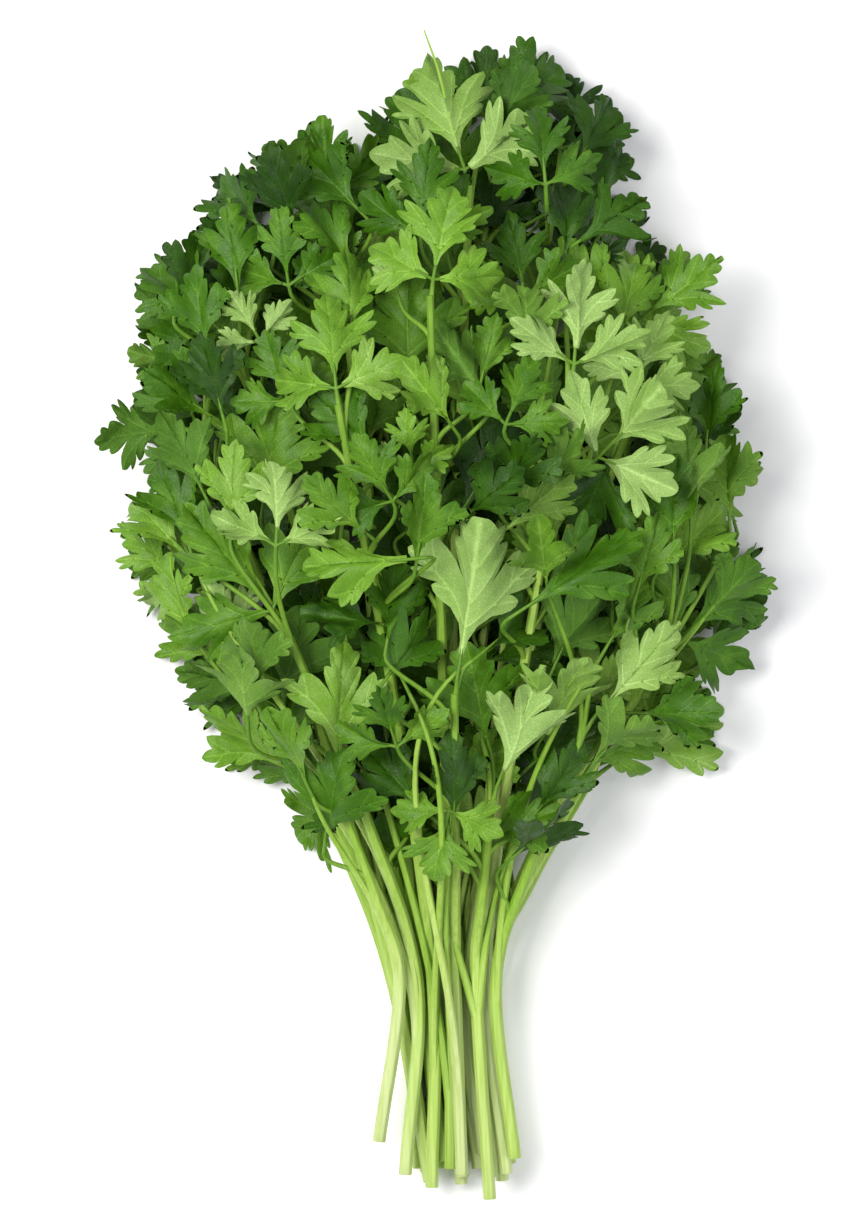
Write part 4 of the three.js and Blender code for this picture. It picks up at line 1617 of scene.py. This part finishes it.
class StemTree:
    """A geometry node tree that sweeps a ridged section along routes."""

    INPUTS = {
        "Sides": "NodeSocketInt",
        "Ridges": "NodeSocketInt",
        "Ridge Depth": "NodeSocketFloat",
        "Finish": "NodeSocketMaterial",
    }

    def __init__(self) -> None:
        """Builds the tree."""
        tree = bpy.data.node_groups.new("ridged_stems", "GeometryNodeTree")
        self.tree = tree
        face = tree.interface
        face.new_socket("Routes", in_out="INPUT", socket_type="NodeSocketGeometry")
        self.inputs: dict[str, str] = {}
        for label, kind in self.INPUTS.items():
            socket = face.new_socket(label, in_out="INPUT", socket_type=kind)
            self.inputs[label] = socket.identifier
        face.new_socket("Stems", in_out="OUTPUT", socket_type="NodeSocketGeometry")
        given = tree.nodes.new("NodeGroupInput")
        curve = self.after("GeometryNodeMeshToCurve", given.outputs["Routes"])
        sweep = self.after("GeometryNodeCurveToMesh", curve.outputs["Curve"])
        sweep.inputs["Fill Caps"].default_value = True
        tree.links.new(self.section(given), sweep.inputs["Profile Curve"])
        girth = tree.nodes.new("GeometryNodeInputNamedAttribute")
        girth.data_type = "FLOAT"
        girth.inputs["Name"].default_value = "girth"
        tree.links.new(girth.outputs["Attribute"], sweep.inputs["Scale"])
        smooth = self.after("GeometryNodeSetShadeSmooth", sweep.outputs["Mesh"])
        realize = self.after("GeometryNodeRealizeInstances", smooth.outputs["Geometry"])
        dress = self.after("GeometryNodeSetMaterial", realize.outputs["Geometry"])
        tree.links.new(given.outputs["Finish"], dress.inputs["Material"])
        self.after("NodeGroupOutput", dress.outputs["Geometry"])

    def after(self, kind: str, shape: Socket) -> bpy.types.Node:
        """A new node that works on a shape.

        Args:
            kind: Its kind.
            shape: The socket of the shape.

        Returns:
            The node.
        """
        node = self.tree.nodes.new(kind)
        self.tree.links.new(shape, node.inputs[0])
        return node

    def section(self, given: bpy.types.Node) -> Socket:
        """The ridged section: a circle whose radius rises at each ridge.

        Args:
            given: The node with the tree's inputs.

        Returns:
            The socket of the section's curve.
        """
        nodes, links = self.tree.nodes, self.tree.links
        circle = nodes.new("GeometryNodeCurvePrimitiveCircle")
        circle.inputs["Radius"].default_value = 1.0
        links.new(given.outputs["Sides"], circle.inputs["Resolution"])
        share = nodes.new("GeometryNodeSplineParameter")
        turns = self.math("MULTIPLY", share.outputs["Factor"], given.outputs["Ridges"])
        angle = self.math("MULTIPLY", turns, 2 * math.pi)
        wave = self.math("MULTIPLY", self.math("COSINE", angle), given.outputs["Ridge Depth"])
        size = self.math("ADD", wave, 1.0)
        place = nodes.new("GeometryNodeInputPosition")
        grown = nodes.new("ShaderNodeVectorMath")
        grown.operation = "SCALE"
        links.new(place.outputs["Position"], grown.inputs[0])
        links.new(size, grown.inputs["Scale"])
        moved = nodes.new("GeometryNodeSetPosition")
        links.new(circle.outputs["Curve"], moved.inputs["Geometry"])
        links.new(grown.outputs["Vector"], moved.inputs["Position"])
        return moved.outputs["Geometry"]

    def math(self, operation: str, a: Socket, b: Socket | float = 0.0) -> Socket:
        """One sum of the tree, of sockets or numbers.

        Args:
            operation: What is worked out.
            a: The first socket or number.
            b: The second.

        Returns:
            The socket of the result.
        """
        node = self.tree.nodes.new("ShaderNodeMath")
        node.operation = operation
        for socket, value in zip(node.inputs, (a, b)):
            if isinstance(value, Socket):
                self.tree.links.new(value, socket)
            else:
                socket.default_value = value
        return node.outputs["Value"]

    def sweep(
        self, name: str, routes: list[StemRoute], section: StemSection, finish: bpy.types.Material
    ) -> bpy.types.Object:
        """Makes the stems of a set of routes as one plain mesh.

        Args:
            name: Name of the piece.
            routes: The routes, in millimetres.
            section: Their section.
            finish: What they are made of.

        Returns:
            The piece.
        """
        carrier = self.carrier(name + "_routes", routes)
        modifier = carrier.modifiers.new("ridged_stems", "NODES")
        modifier.node_group = self.tree
        values = (section.sides, section.ridges, section.depth, finish)
        for label, value in zip(self.INPUTS, values):
            modifier[self.inputs[label]] = value
        evaluated = carrier.evaluated_get(bpy.context.evaluated_depsgraph_get())
        mesh = bpy.data.meshes.new_from_object(evaluated)
        mesh.name = name
        lines = carrier.data
        bpy.data.objects.remove(carrier)
        bpy.data.meshes.remove(lines)
        return new_object(name, mesh)

    @staticmethod
    def carrier(name: str, routes: list[StemRoute]) -> bpy.types.Object:
        """An object of bare lines along routes, with what the tree reads at their points.

        Args:
            name: Its name.
            routes: The routes, in millimetres.

        Returns:
            The object, in metres.
        """
        lines = bpy.data.meshes.new(name)
        counts = [len(route.points) for route in routes]
        starts = np.cumsum([0, *counts[:-1]])
        edges = [(s + i, s + i + 1) for s, count in zip(starts, counts) for i in range(count - 1)]
        lines.from_pydata(np.vstack([r.points * MM for r in routes]).tolist(), edges, [])
        values = {
            "girth": [route.radii * MM for route in routes],
            "along": [route.along for route in routes],
            "shade": [np.full(count, route.shade) for count, route in zip(counts, routes)],
        }
        for key, rows in values.items():
            layer = lines.attributes.new(key, "FLOAT", "POINT")
            layer.data.foreach_set("value", np.concatenate(rows).astype(np.float32))
        return new_object(name, lines)


# ---------------------------------------------------------------- finishes


def linear(colour: Rgb) -> tuple[float, float, float, float]:
    """A colour of light from the three numbers, 0 to 255, that a screen would show it with."""
    parts = [c / 255 for c in colour]
    return (*(c / 12.92 if c <= 0.04045 else ((c + 0.055) / 1.055) ** 2.4 for c in parts), 1.0)


class Shader:
    """A material's nodes, written in a few words each."""

    MIX_INPUTS = (6, 7)  # the mix node's colour sockets, which share their names with others
    MIX_OUTPUT = 2

    def __init__(self, name: str) -> None:
        """Starts a material with a bare surface.

        Args:
            name: The material's name.
        """
        self.material = bpy.data.materials.new(name)
        self.material.use_nodes = True
        self.tree = self.material.node_tree
        self.surface = self.tree.nodes["Principled BSDF"]
        self.place = self.tree.nodes.new("ShaderNodeTexCoord").outputs["Object"]

    def feed(self, socket: Socket, value: object) -> None:
        """Links a socket, or sets its number or colour.

        Args:
            socket: The socket.
            value: Another socket, a number or a colour.
        """
        if isinstance(value, Socket):
            self.tree.links.new(value, socket)
        else:
            socket.default_value = value

    def attribute(self, name: str) -> Socket:
        """A number that the mesh holds at each point.

        Args:
            name: The attribute's name.

        Returns:
            The socket of the number.
        """
        node = self.tree.nodes.new("ShaderNodeAttribute")
        node.attribute_name = name
        return node.outputs["Fac"]

    def noise(
        self, scale: float, detail: float = 2.0, stretch: tuple[float, float, float] = (1, 1, 1)
    ) -> Socket:
        """Cloudy noise.

        Args:
            scale: How many clouds there are to a metre.
            detail: How many finer layers it has.
            stretch: How much denser it is along each axis.

        Returns:
            A number about 0.5.
        """
        scaled = self.tree.nodes.new("ShaderNodeVectorMath")
        scaled.operation = "MULTIPLY"
        self.feed(scaled.inputs[0], self.place)
        scaled.inputs[1].default_value = stretch
        node = self.tree.nodes.new("ShaderNodeTexNoise")
        self.feed(node.inputs["Vector"], scaled.outputs["Vector"])
        node.inputs["Scale"].default_value = scale
        node.inputs["Detail"].default_value = detail
        return node.outputs["Fac"]

    def cells(self, scale: float) -> Socket:
        """How far a place is from the edges of small cells, as those between the finest veins.

        Args:
            scale: How many cells there are to a metre.

        Returns:
            The socket of the distance.
        """
        node = self.tree.nodes.new("ShaderNodeTexVoronoi")
        node.feature = "DISTANCE_TO_EDGE"
        self.feed(node.inputs["Vector"], self.place)
        node.inputs["Scale"].default_value = scale
        return node.outputs["Distance"]

    def sum(self, operation: str, a: object, b: object) -> Socket:
        """One sum of sockets or numbers.

        Args:
            operation: What is worked out.
            a: The first socket or number.
            b: The second.

        Returns:
            The socket of the result.
        """
        node = self.tree.nodes.new("ShaderNodeMath")
        node.operation = operation
        self.feed(node.inputs[0], a)
        self.feed(node.inputs[1], b)
        return node.outputs["Value"]

    def spread(self, value: Socket, low: float, high: float, start: float, end: float) -> Socket:
        """A number moved from one range to another, and kept in it.

        Args:
            value: The number.
            low: Start of the first range.
            high: Its end.
            start: Start of the second range.
            end: Its end.

        Returns:
            The socket of the moved number.
        """
        node = self.tree.nodes.new("ShaderNodeMapRange")
        for socket, number in zip(list(node.inputs)[:5], (value, low, high, start, end)):
            self.feed(socket, number)
        return node.outputs["Result"]

    def ramp(self, value: Socket, stops: list[tuple[float, tuple]]) -> Socket:
        """A colour that runs through stops.

        Args:
            value: Where on the run, from 0 to 1.
            stops: Places on it, each with its colour.

        Returns:
            The socket of the colour.
        """
        node = self.tree.nodes.new("ShaderNodeValToRGB")
        self.feed(node.inputs["Fac"], value)
        band = node.color_ramp.elements
        while len(band) < len(stops):
            band.new(0.5)
        for stop, (place, colour) in zip(band, stops):
            stop.position = place
            stop.color = colour
        return node.outputs["Color"]

    def mix(self, share: object, a: object, b: object, kind: str = "MIX") -> Socket:
        """Two colours mixed.

        Args:
            share: How much of the second there is.
            a: The first colour.
            b: The second colour.
            kind: How they mix.

        Returns:
            The socket of the colour.
        """
        node = self.tree.nodes.new("ShaderNodeMix")
        node.data_type = "RGBA"
        node.blend_type = kind
        self.feed(node.inputs["Factor"], share)
        for number, colour in zip(self.MIX_INPUTS, (a, b)):
            self.feed(node.inputs[number], colour)
        return node.outputs[self.MIX_OUTPUT]

    def bump(self, height: Socket, strength: float, distance: float) -> None:
        """Gives the surface a relief.

        Args:
            height: Its height, from 0 to 1.
            strength: How much of it shows.
            distance: Its real height in metres.
        """
        node = self.tree.nodes.new("ShaderNodeBump")
        node.inputs["Strength"].default_value = strength
        node.inputs["Distance"].default_value = distance
        self.feed(node.inputs["Height"], height)
        self.feed(self.surface.inputs["Normal"], node.outputs["Normal"])


@dataclass(frozen=True)
class LeafFinish:
    """One face of the leaves: green by tone, with faint lighter veins and a fine relief."""

    name: str
    greens: tuple[Rgb, Rgb, Rgb, Rgb]
    vein: tuple[float, float, float, float]
    vein_share: float
    base_share: float
    roughness: float
    specular: float
    tone_stops: tuple[float, ...] = (0.0, 0.36, 0.7, 1.0)
    cloud_scale: float = 150.0
    cloud_detail: float = 3.0
    cloud_share: float = 0.5
    own_share: float = 0.12
    base_reach: tuple[float, float] = (0.05, 0.45)
    cell_scale: float = 1200.0
    cell_edge: float = 0.2
    cell_tint: tuple[float, ...] = (0.74, 0.78, 0.7, 1.0)
    cell_share: float = 0.8
    vein_from: tuple[float, float] = (0.3, 0.85)
    gloss_scale: float = 420.0
    gloss_from: tuple[float, float] = (0.3, 0.7)
    gloss_play: float = 0.07
    cell_relief: tuple[float, float] = (0.3, 0.6)
    grain_scale: float = 900.0
    relief: tuple[float, float] = (0.4, 0.00018)

    def build(self) -> bpy.types.Material:
        """Makes the material.

        Returns:
            The material.
        """
        s = Shader(self.name)
        clouds = s.sum("SUBTRACT", s.noise(self.cloud_scale, self.cloud_detail), 0.5)
        own = s.sum("SUBTRACT", s.attribute("leaf"), 0.5)
        cloudy = s.sum("MULTIPLY", clouds, self.cloud_share)
        drift = s.sum("ADD", cloudy, s.sum("MULTIPLY", own, self.own_share))
        tone = s.sum("ADD", s.attribute("tone"), drift)
        green = s.ramp(tone, list(zip(self.tone_stops, map(linear, self.greens))))
        near_base = s.spread(s.attribute("reach"), *self.base_reach, self.base_share, 0.0)
        green = s.mix(near_base, green, s.mix(1.0, green, self.vein, "MULTIPLY"))
        cells = s.cells(self.cell_scale)
        speckle = s.ramp(cells, [(0.0, self.cell_tint), (self.cell_edge, WHITE)])
        green = s.mix(self.cell_share, green, s.mix(1.0, green, speckle, "MULTIPLY"))
        vein = s.spread(s.attribute("vein"), *self.vein_from, 0.0, self.vein_share)
        veined = s.mix(vein, green, s.mix(1.0, green, self.vein, "MULTIPLY"))
        s.feed(s.surface.inputs["Base Color"], veined)
        low, high = self.roughness - self.gloss_play, self.roughness + self.gloss_play
        gloss = s.spread(s.noise(self.gloss_scale), *self.gloss_from, low, high)
        s.feed(s.surface.inputs["Roughness"], gloss)
        s.surface.inputs["Specular IOR Level"].default_value = self.specular
        wide, high = self.cell_relief
        relief = s.sum("ADD", s.spread(cells, 0.0, wide, 0.0, high), s.noise(self.grain_scale))
        s.bump(relief, *self.relief)
        return s.material


@dataclass(frozen=True)
class StemFinish:
    """Stalks and branches: pale at the cut ends, greener towards the leaves, finely streaked."""

    name: str
    greens: tuple[Rgb, Rgb, Rgb, Rgb]
    groove: tuple[float, float, float, float]
    roughness: float
    specular: float = 0.28
    along_stops: tuple[float, ...] = (0.0, 0.3, 0.62, 1.0)
    cloud_scale: float = 120.0
    cloud_stretch: tuple[float, float, float] = (1, 0.3, 1)
    cloud_share: float = 0.3
    own_until: float = 0.9
    streak_scale: float = 1100.0
    streak_stretch: tuple[float, float, float] = (1, 0.05, 1)
    streak_stops: tuple[float, float] = (0.38, 0.6)
    streak_share: float = 0.75
    relief: tuple[float, float] = (0.4, 0.00025)

    def build(self) -> bpy.types.Material:
        """Makes the material.

        Returns:
            The material.
        """
        s = Shader(self.name)
        clouds = s.sum("SUBTRACT", s.noise(self.cloud_scale, stretch=self.cloud_stretch), 0.5)
        own = s.sum("SUBTRACT", s.attribute("shade"), 0.5)
        fading = s.sum("MULTIPLY", own, s.sum("SUBTRACT", self.own_until, s.attribute("along")))
        drift = s.sum("ADD", s.sum("MULTIPLY", clouds, self.cloud_share), fading)
        along = s.sum("ADD", s.attribute("along"), drift)
        green = s.ramp(along, list(zip(self.along_stops, map(linear, self.greens))))
        streaks = s.noise(self.streak_scale, stretch=self.streak_stretch)
        tint = s.ramp(streaks, list(zip(self.streak_stops, (self.groove, WHITE))))
        streaked = s.mix(self.streak_share, green, s.mix(1.0, green, tint, "MULTIPLY"))
        s.feed(s.surface.inputs["Base Color"], streaked)
        s.surface.inputs["Roughness"].default_value = self.roughness
        s.surface.inputs["Specular IOR Level"].default_value = self.specular
        s.bump(streaks, *self.relief)
        return s.material


@dataclass(frozen=True)
class PlainFinish:
    """A matt surface with faint clouds."""

    name: str
    colour: Rgb
    roughness: float = 0.9
    specular: float = 0.1
    dimmest: float = 0.985
    cloud_scale: float = 6.0

    def build(self) -> bpy.types.Material:
        """Makes the material.

        Returns:
            The material.
        """
        s = Shader(self.name)
        base = linear(self.colour)
        dim = (*(c * self.dimmest for c in base[:3]), 1.0)
        s.feed(s.surface.inputs["Base Color"], s.mix(s.noise(self.cloud_scale), base, dim))
        s.surface.inputs["Roughness"].default_value = self.roughness
        s.surface.inputs["Specular IOR Level"].default_value = self.specular
        return s.material


UPPER = LeafFinish(
    name="leaf_upper",
    greens=((29, 61, 4), (58, 102, 8), (106, 149, 42), (138, 172, 86)),
    vein=(2.1, 1.8, 2.6, 1.0),
    vein_share=0.48,
    base_share=0.36,
    roughness=0.46,
    specular=0.22,
)
UNDER = LeafFinish(
    name="leaf_under",
    greens=((54, 90, 24), (80, 120, 38), (116, 153, 62), (142, 174, 96)),
    vein=(1.8, 1.65, 2.0, 1.0),
    vein_share=0.5,
    base_share=0.3,
    roughness=0.58,
    specular=0.16,
)
STEM = StemFinish(
    name="stem",
    greens=((190, 204, 142), (174, 200, 104), (138, 176, 62), (84, 126, 30)),
    groove=(0.76, 0.83, 0.57, 1.0),
    roughness=0.5,
)
FLOOR = PlainFinish("floor", (250, 250, 252))


# ---------------------------------------------------------------- the leafy stems


@dataclass
class LeafyStems:
    """All leafy stems: fine blades, and stems swept along the stalks and branches."""

    growth: Growth
    cells: tuple[tuple[Leaflet, float], ...] = (
        (Leaflet.BROAD, 0.04),
        (Leaflet.END, 0.05),
        (Leaflet.SIDE, 0.055),
    )
    inner_cell: float = 0.07
    variants: int = 7
    tone_play: float = 0.27
    stalk_points: int = 48
    stalk_section: StemSection = StemSection(24, 6, 0.09)
    stalk_along: float = 0.8
    cut_step: float = 0.002
    branch_points: int = 12
    branch_section: StemSection = StemSection(8, 2, 0.1)
    branch_radius: tuple[float, float] = (0.68, 0.45)
    stalklet_radius: tuple[float, float] = (0.44, 0.18)
    side_stalks: int = 2
    side_points: int = 26
    side_radius: tuple[float, float] = (1.05, 0.45)
    side_root: tuple[float, float] = (0.06, 0.28)
    side_out: float = 0.42
    side_back: float = 0.3
    side_lean: tuple[float, float] = (3.0, 2.0)
    side_lowest: float = 1.2
    side_shade_play: float = 0.5
    twig_lowest: float = 0.8
    twig_along: tuple[float, float] = (0.7, 0.3)
    stalklet_into: tuple[float, ...] = (0.02, 0.1, 0.2)
    stalklet_back: float = 0.4
    stalklet_along: float = 0.95
    shoot_along: float = 0.6
    first_seed: int = 900
    leaf_seeds: int = 3
    crown_inset: float = 0.94
    cut_rounding: float = 0.12
    shoot_of: int = 14
    shoot: tuple[tuple[float, float, float], ...] = (
        (3.0, 130.0, 30.0), (1.5, 138.0, 31.0), (-1.0, 143.0, 31.0), (-2.2, 147.0, 29.0),
    )  # fmt: skip
    shoot_radius: tuple[float, float] = (0.4, 0.16)
    inner_share: float = 0.6
    # how much deeper an inner leaf is than the outer leaf nearest it: painted shade
    inner_painted_shade: float = 0.06

    def __post_init__(self) -> None:
        """Keeps where the outer leaves are and how light they are."""
        leaves = [leaf for stalk in self.growth.stalks for leaf in stalk.leaves if not leaf.inner]
        self.outer_places = np.array([self.middle_of(leaf) for leaf in leaves])
        self.outer_tones = [leaf.plan.tone.value for leaf in leaves]

    def build(self) -> None:
        """Builds every leafy stem in place of its solid."""
        skin = BladeSkin()
        copies = range(self.variants)
        fine = {
            kind: [Pattern(kind, PatternSizes(cell), i) for i in copies] for kind, cell in self.cells
        }
        broad = [Pattern(Leaflet.BROAD, PatternSizes(self.inner_cell), i) for i in copies]
        coarse = {Leaflet.BROAD: broad}
        greens = [UPPER.build(), UNDER.build()]
        stem = STEM.build()
        tree = StemTree()
        for stalk in self.growth.stalks:
            number = f"{stalk.number:02d}"
            chance = Chance(self.first_seed + stalk.number)
            parts = MeshParts()
            for leaf in stalk.leaves:
                self.dress(leaf, parts, skin, coarse if leaf.inner else fine)
            blades = parts.build(f"leaves_{number}", greens)
            shade = chance.draw()
            routes = [self.stalk_route(stalk, shade)]
            routes += self.side_stalks_of(stalk, shade, chance)
            stalk_piece = tree.sweep(f"stalk_{number}", routes, self.stalk_section, stem)
            twigs = [route for leaf in stalk.leaves for route in self.twig_routes(leaf)]
            if stalk.number == self.shoot_of:
                twigs.append(self.shoot_route())
            twig_piece = tree.sweep(f"branches_{number}", twigs, self.branch_section, stem)
            for piece in (blades, stalk_piece, twig_piece):
                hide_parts(f"leafy_stem_{number}")
                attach(piece, "root")
            faces = len(blades.data.polygons)
            LOG.info("leafy stem %s: %d leaves, %d faces", number, len(stalk.leaves), faces)

    def dress(
        self, leaf: Leaf, parts: MeshParts, skin: BladeSkin, patterns: dict[Leaflet, list[Pattern]]
    ) -> None:
        """Adds the fine blades of a leaf to a mesh.

        Args:
            leaf: The leaf.
            parts: The mesh.
            skin: The blades' fine shape.
            patterns: Flat leaflets to draw from, by kind.
        """
        chance = Chance(leaf.plan.seed * self.leaf_seeds + leaf.stalk.number)
        for blade in leaf.blades:
            variants = patterns[blade.kind]
            pattern = variants[int(chance.draw() * len(variants))]
            tone = self.tone_of(leaf) + chance.about(self.tone_play)
            skin.add(parts, blade, pattern, tone, chance)

    def tone_of(self, leaf: Leaf) -> float:
        """How light a leaf is: an inner one takes after the outer leaf nearest it, made a little deeper
        as painted shade.

        Args:
            leaf: The leaf.

        Returns:
            Its tone, from 0 for the deepest green to 1.
        """
        if not leaf.inner:
            return leaf.plan.tone.value
        gaps = self.outer_places - self.middle_of(leaf)
        near = self.outer_tones[int(np.argmin((gaps**2).sum(1)))]
        own = (1 - self.inner_share) * leaf.plan.tone.value
        return self.inner_share * near + own - self.inner_painted_shade

    @staticmethod
    def middle_of(leaf: Leaf) -> Array:
        """The middle of a leaf, seen from above."""
        return (leaf.junction + leaf.pose.forward * leaf.plan.length / 2)[:2]

    def stalk_route(self, stalk: Stalk, shade: float) -> StemRoute:
        """The route of a stalk.

        Args:
            stalk: The stalk.
            shade: How green it is.

        Returns:
            The route.
        """
        t = np.concatenate([[0.0, self.cut_step], np.linspace(0, 1, self.stalk_points)[1:]])
        line = pressed(stalk.points(t), STALK.radius * (1 + self.stalk_section.depth))
        radii = stalk.radii(t)
        radii[0] *= 1 - self.cut_rounding
        return StemRoute(line, radii, t * self.stalk_along, shade)

    def side_stalks_of(self, stalk: Stalk, shade: float, chance: Chance) -> list[StemRoute]:
        """Thin side stalks that leave a stalk low down and run up to some of its inner leaves.

        Args:
            stalk: The stalk.
            shade: How green the stalk is.
            chance: Random draws.

        Returns:
            Their routes.
        """
        inner = [leaf for leaf in stalk.leaves if leaf.inner]
        inner.sort(key=lambda leaf: leaf.junction[2])
        w = np.linspace(0, 1, self.side_points)
        thick, thin = self.side_radius
        lowest_root, root_span = self.side_root
        aside, up = self.side_lean
        routes = []
        for leaf in inner:
            t = lowest_root + root_span * chance.draw()
            root, way = stalk.point(t), stalk.directions(np.array([t]))[0]
            reach = float(np.linalg.norm(leaf.junction - root))
            toward = 1.0 if leaf.junction[0] > root[0] else -1.0
            leaving = root + way * self.side_out * reach + np.array([aside * toward, 0.0, up])
            arriving = leaf.junction - leaf.pose.forward * self.side_back * reach
            curve = bezier(np.array([root, leaving, arriving, leaf.junction]), w)
            line = pressed(curve, self.side_lowest)
            own = shade + chance.about(self.side_shade_play)
            along = self.stalk_along * (t + (1 - t) * w)
            if self.growth.among_stalks(line, self.crown_inset):
                routes.append(StemRoute(line, thick + (thin - thick) * w, along, own))
        return routes[: self.side_stalks]

    def shoot_route(self) -> StemRoute:
        """The route of the bare thin shoot that stands out of the crown's top.

        Returns:
            The route.
        """
        w = np.linspace(0, 1, self.branch_points)
        thick, thin = self.shoot_radius
        line = bezier(np.array(self.shoot), w)
        return StemRoute(line, thick + (thin - thick) * w, np.full(len(w), self.shoot_along))

    def twig_routes(self, leaf: Leaf) -> list[StemRoute]:
        """The routes of a leaf's branch and of the stalklets of its blades.

        Args:
            leaf: The leaf.

        Returns:
            The routes, the branch's first.
        """
        w = np.linspace(0, 1, self.branch_points)
        thick, thin = self.branch_radius
        points = pressed(bezier(leaf.bend, w), self.twig_lowest)
        start_along, more_along = self.twig_along
        routes = [StemRoute(points, thick + (thin - thick) * w, start_along + more_along * w)]
        start, end = self.stalklet_radius
        for blade in leaf.blades:
            into = blade.points(np.array([[u, 0.0] for u in self.stalklet_into]))
            line = np.vstack([leaf.junction - blade.pose.forward * self.stalklet_back, into])
            radii = np.interp(np.arange(len(line)), [0, len(line) - 1], [start, end])
            routes.append(StemRoute(line, radii, np.full(len(line), self.stalklet_along)))
        return routes


# ---------------------------------------------------------------- floor, light and camera


@dataclass(frozen=True)
class Lamp:
    """A soft square light that shines on the middle of the bunch."""

    name: str
    place: tuple[float, float, float]
    size: float
    power: float
    colour: tuple[float, float, float]

    def build(self) -> None:
        """Makes the lamp."""
        data = bpy.data.lights.new(self.name, "AREA")
        data.size = self.size
        data.energy = self.power
        data.color = self.colour
        lamp = new_object(self.name, data)
        lamp.location = self.place
        lamp.rotation_euler = (-Vector(self.place)).to_track_quat("-Z", "Y").to_euler()


LAMPS = (
    Lamp("key", (-0.52, 0.18, 0.92), 0.6, 12.9, (1.0, 0.985, 0.94)),
    Lamp("fill", (0.75, -0.25, 1.0), 0.9, 6.4, (0.98, 0.985, 1.0)),
)


@dataclass(frozen=True)
class Stage:
    """The pale floor, the soft light and the camera that looks straight down."""

    middle: tuple[float, float] = (-0.0005, 0.0035)
    frame_height: float = 0.302
    mean_height: float = 0.03
    distance: float = 2.5
    sensor: float = 36.0
    floor_size: float = 4.0
    farthest: float = 20.0
    sky_strength: float = 0.43
    sky_colour: tuple[float, ...] = (0.97, 0.97, 1.0, 1.0)

    def build(self) -> None:
        """Builds the stage."""
        self.camera()
        self.floor()
        for lamp in LAMPS:
            lamp.build()
        self.sky()

    def camera(self) -> None:
        """Makes the camera."""
        data = bpy.data.cameras.new("camera")
        data.sensor_width = self.sensor
        data.lens = self.sensor * self.distance / self.frame_height
        data.clip_end = self.farthest
        camera = new_object("camera", data)
        camera.location = (*self.middle, self.distance + self.mean_height)
        bpy.context.scene.camera = camera

    def floor(self) -> None:
        """Makes the floor that the bunch lies on."""
        half = self.floor_size / 2
        mesh = bpy.data.meshes.new("floor")
        corners = [(-half, -half, 0), (half, -half, 0), (half, half, 0), (-half, half, 0)]
        mesh.from_pydata(corners, [], [(0, 1, 2, 3)])
        mesh.materials.append(FLOOR.build())
        new_object("floor", mesh)

    def sky(self) -> None:
        """Makes the even light from all round."""
        world = bpy.data.worlds.new("studio")
        world.use_nodes = True
        back = world.node_tree.nodes["Background"]
        back.inputs["Color"].default_value = self.sky_colour
        back.inputs["Strength"].default_value = self.sky_strength
        bpy.context.scene.world = world
        bpy.context.scene.view_settings.view_transform = "Standard"


# Leaves that close the crown from within, without solids of their own, and the room they keep. The lower
# ones take deep tones, as painted shade in the crown's depth.
INNER_ROOM = Clearance(
    sample_gap=3.2, others=0.8, own=0.6, tries=5, stalks_tried=3, outline_slack=1.0,
    most_back=5.0, branch_inset=0.95,
)
# Deep and mid tones for the lower inner leaves: painted shade.
PAINTED_SHADE_TONES = (Tone.DEEP, Tone.DEEP, Tone.MID)
MIXED = (Tone.MID, Tone.DEEP, Tone.MID, Tone.LIGHT)
INNER_FILLS = (
    Fill(190, 0.32, 0.12, 26.0, 3.5, least_gap=1.0, width=0.9, play=2.4, seed=12, tones=PAINTED_SHADE_TONES),
    Fill(90, 0.55, 0.3, 25.0, 4.0, least_gap=1.2, width=0.8, play=2.0, seed=8, lean=0.8, tones=PAINTED_SHADE_TONES),
    Fill(90, 0.8, 0.52, 26.0, 4.0, least_gap=1.2, width=0.75, play=1.8, seed=6, lean=1.0, tones=PAINTED_SHADE_TONES),
    Fill(70, 1.4, 0.84, 26.0, 4.0, width=0.75, play=1.5, seed=10, seen_above=0.62, lean=1.1, tones=MIXED),
)


def main() -> None:
    """Builds the bunch and its stage, piece by piece."""
    logging.basicConfig(level=logging.INFO, format="%(message)s")
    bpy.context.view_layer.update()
    growth = grown_bunch()
    LOG.info("growth: %d leaves with solids", sum(len(stalk.leaves) for stalk in growth.stalks))
    growth.room = INNER_ROOM
    for fill in INNER_FILLS:
        LOG.info("growth: %d inner leaves", growth.fill_gaps(fill, inner=True))
    LeafyStems(growth).build()
    Stage().build()
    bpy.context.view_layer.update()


if __name__ == "__main__":
    main()
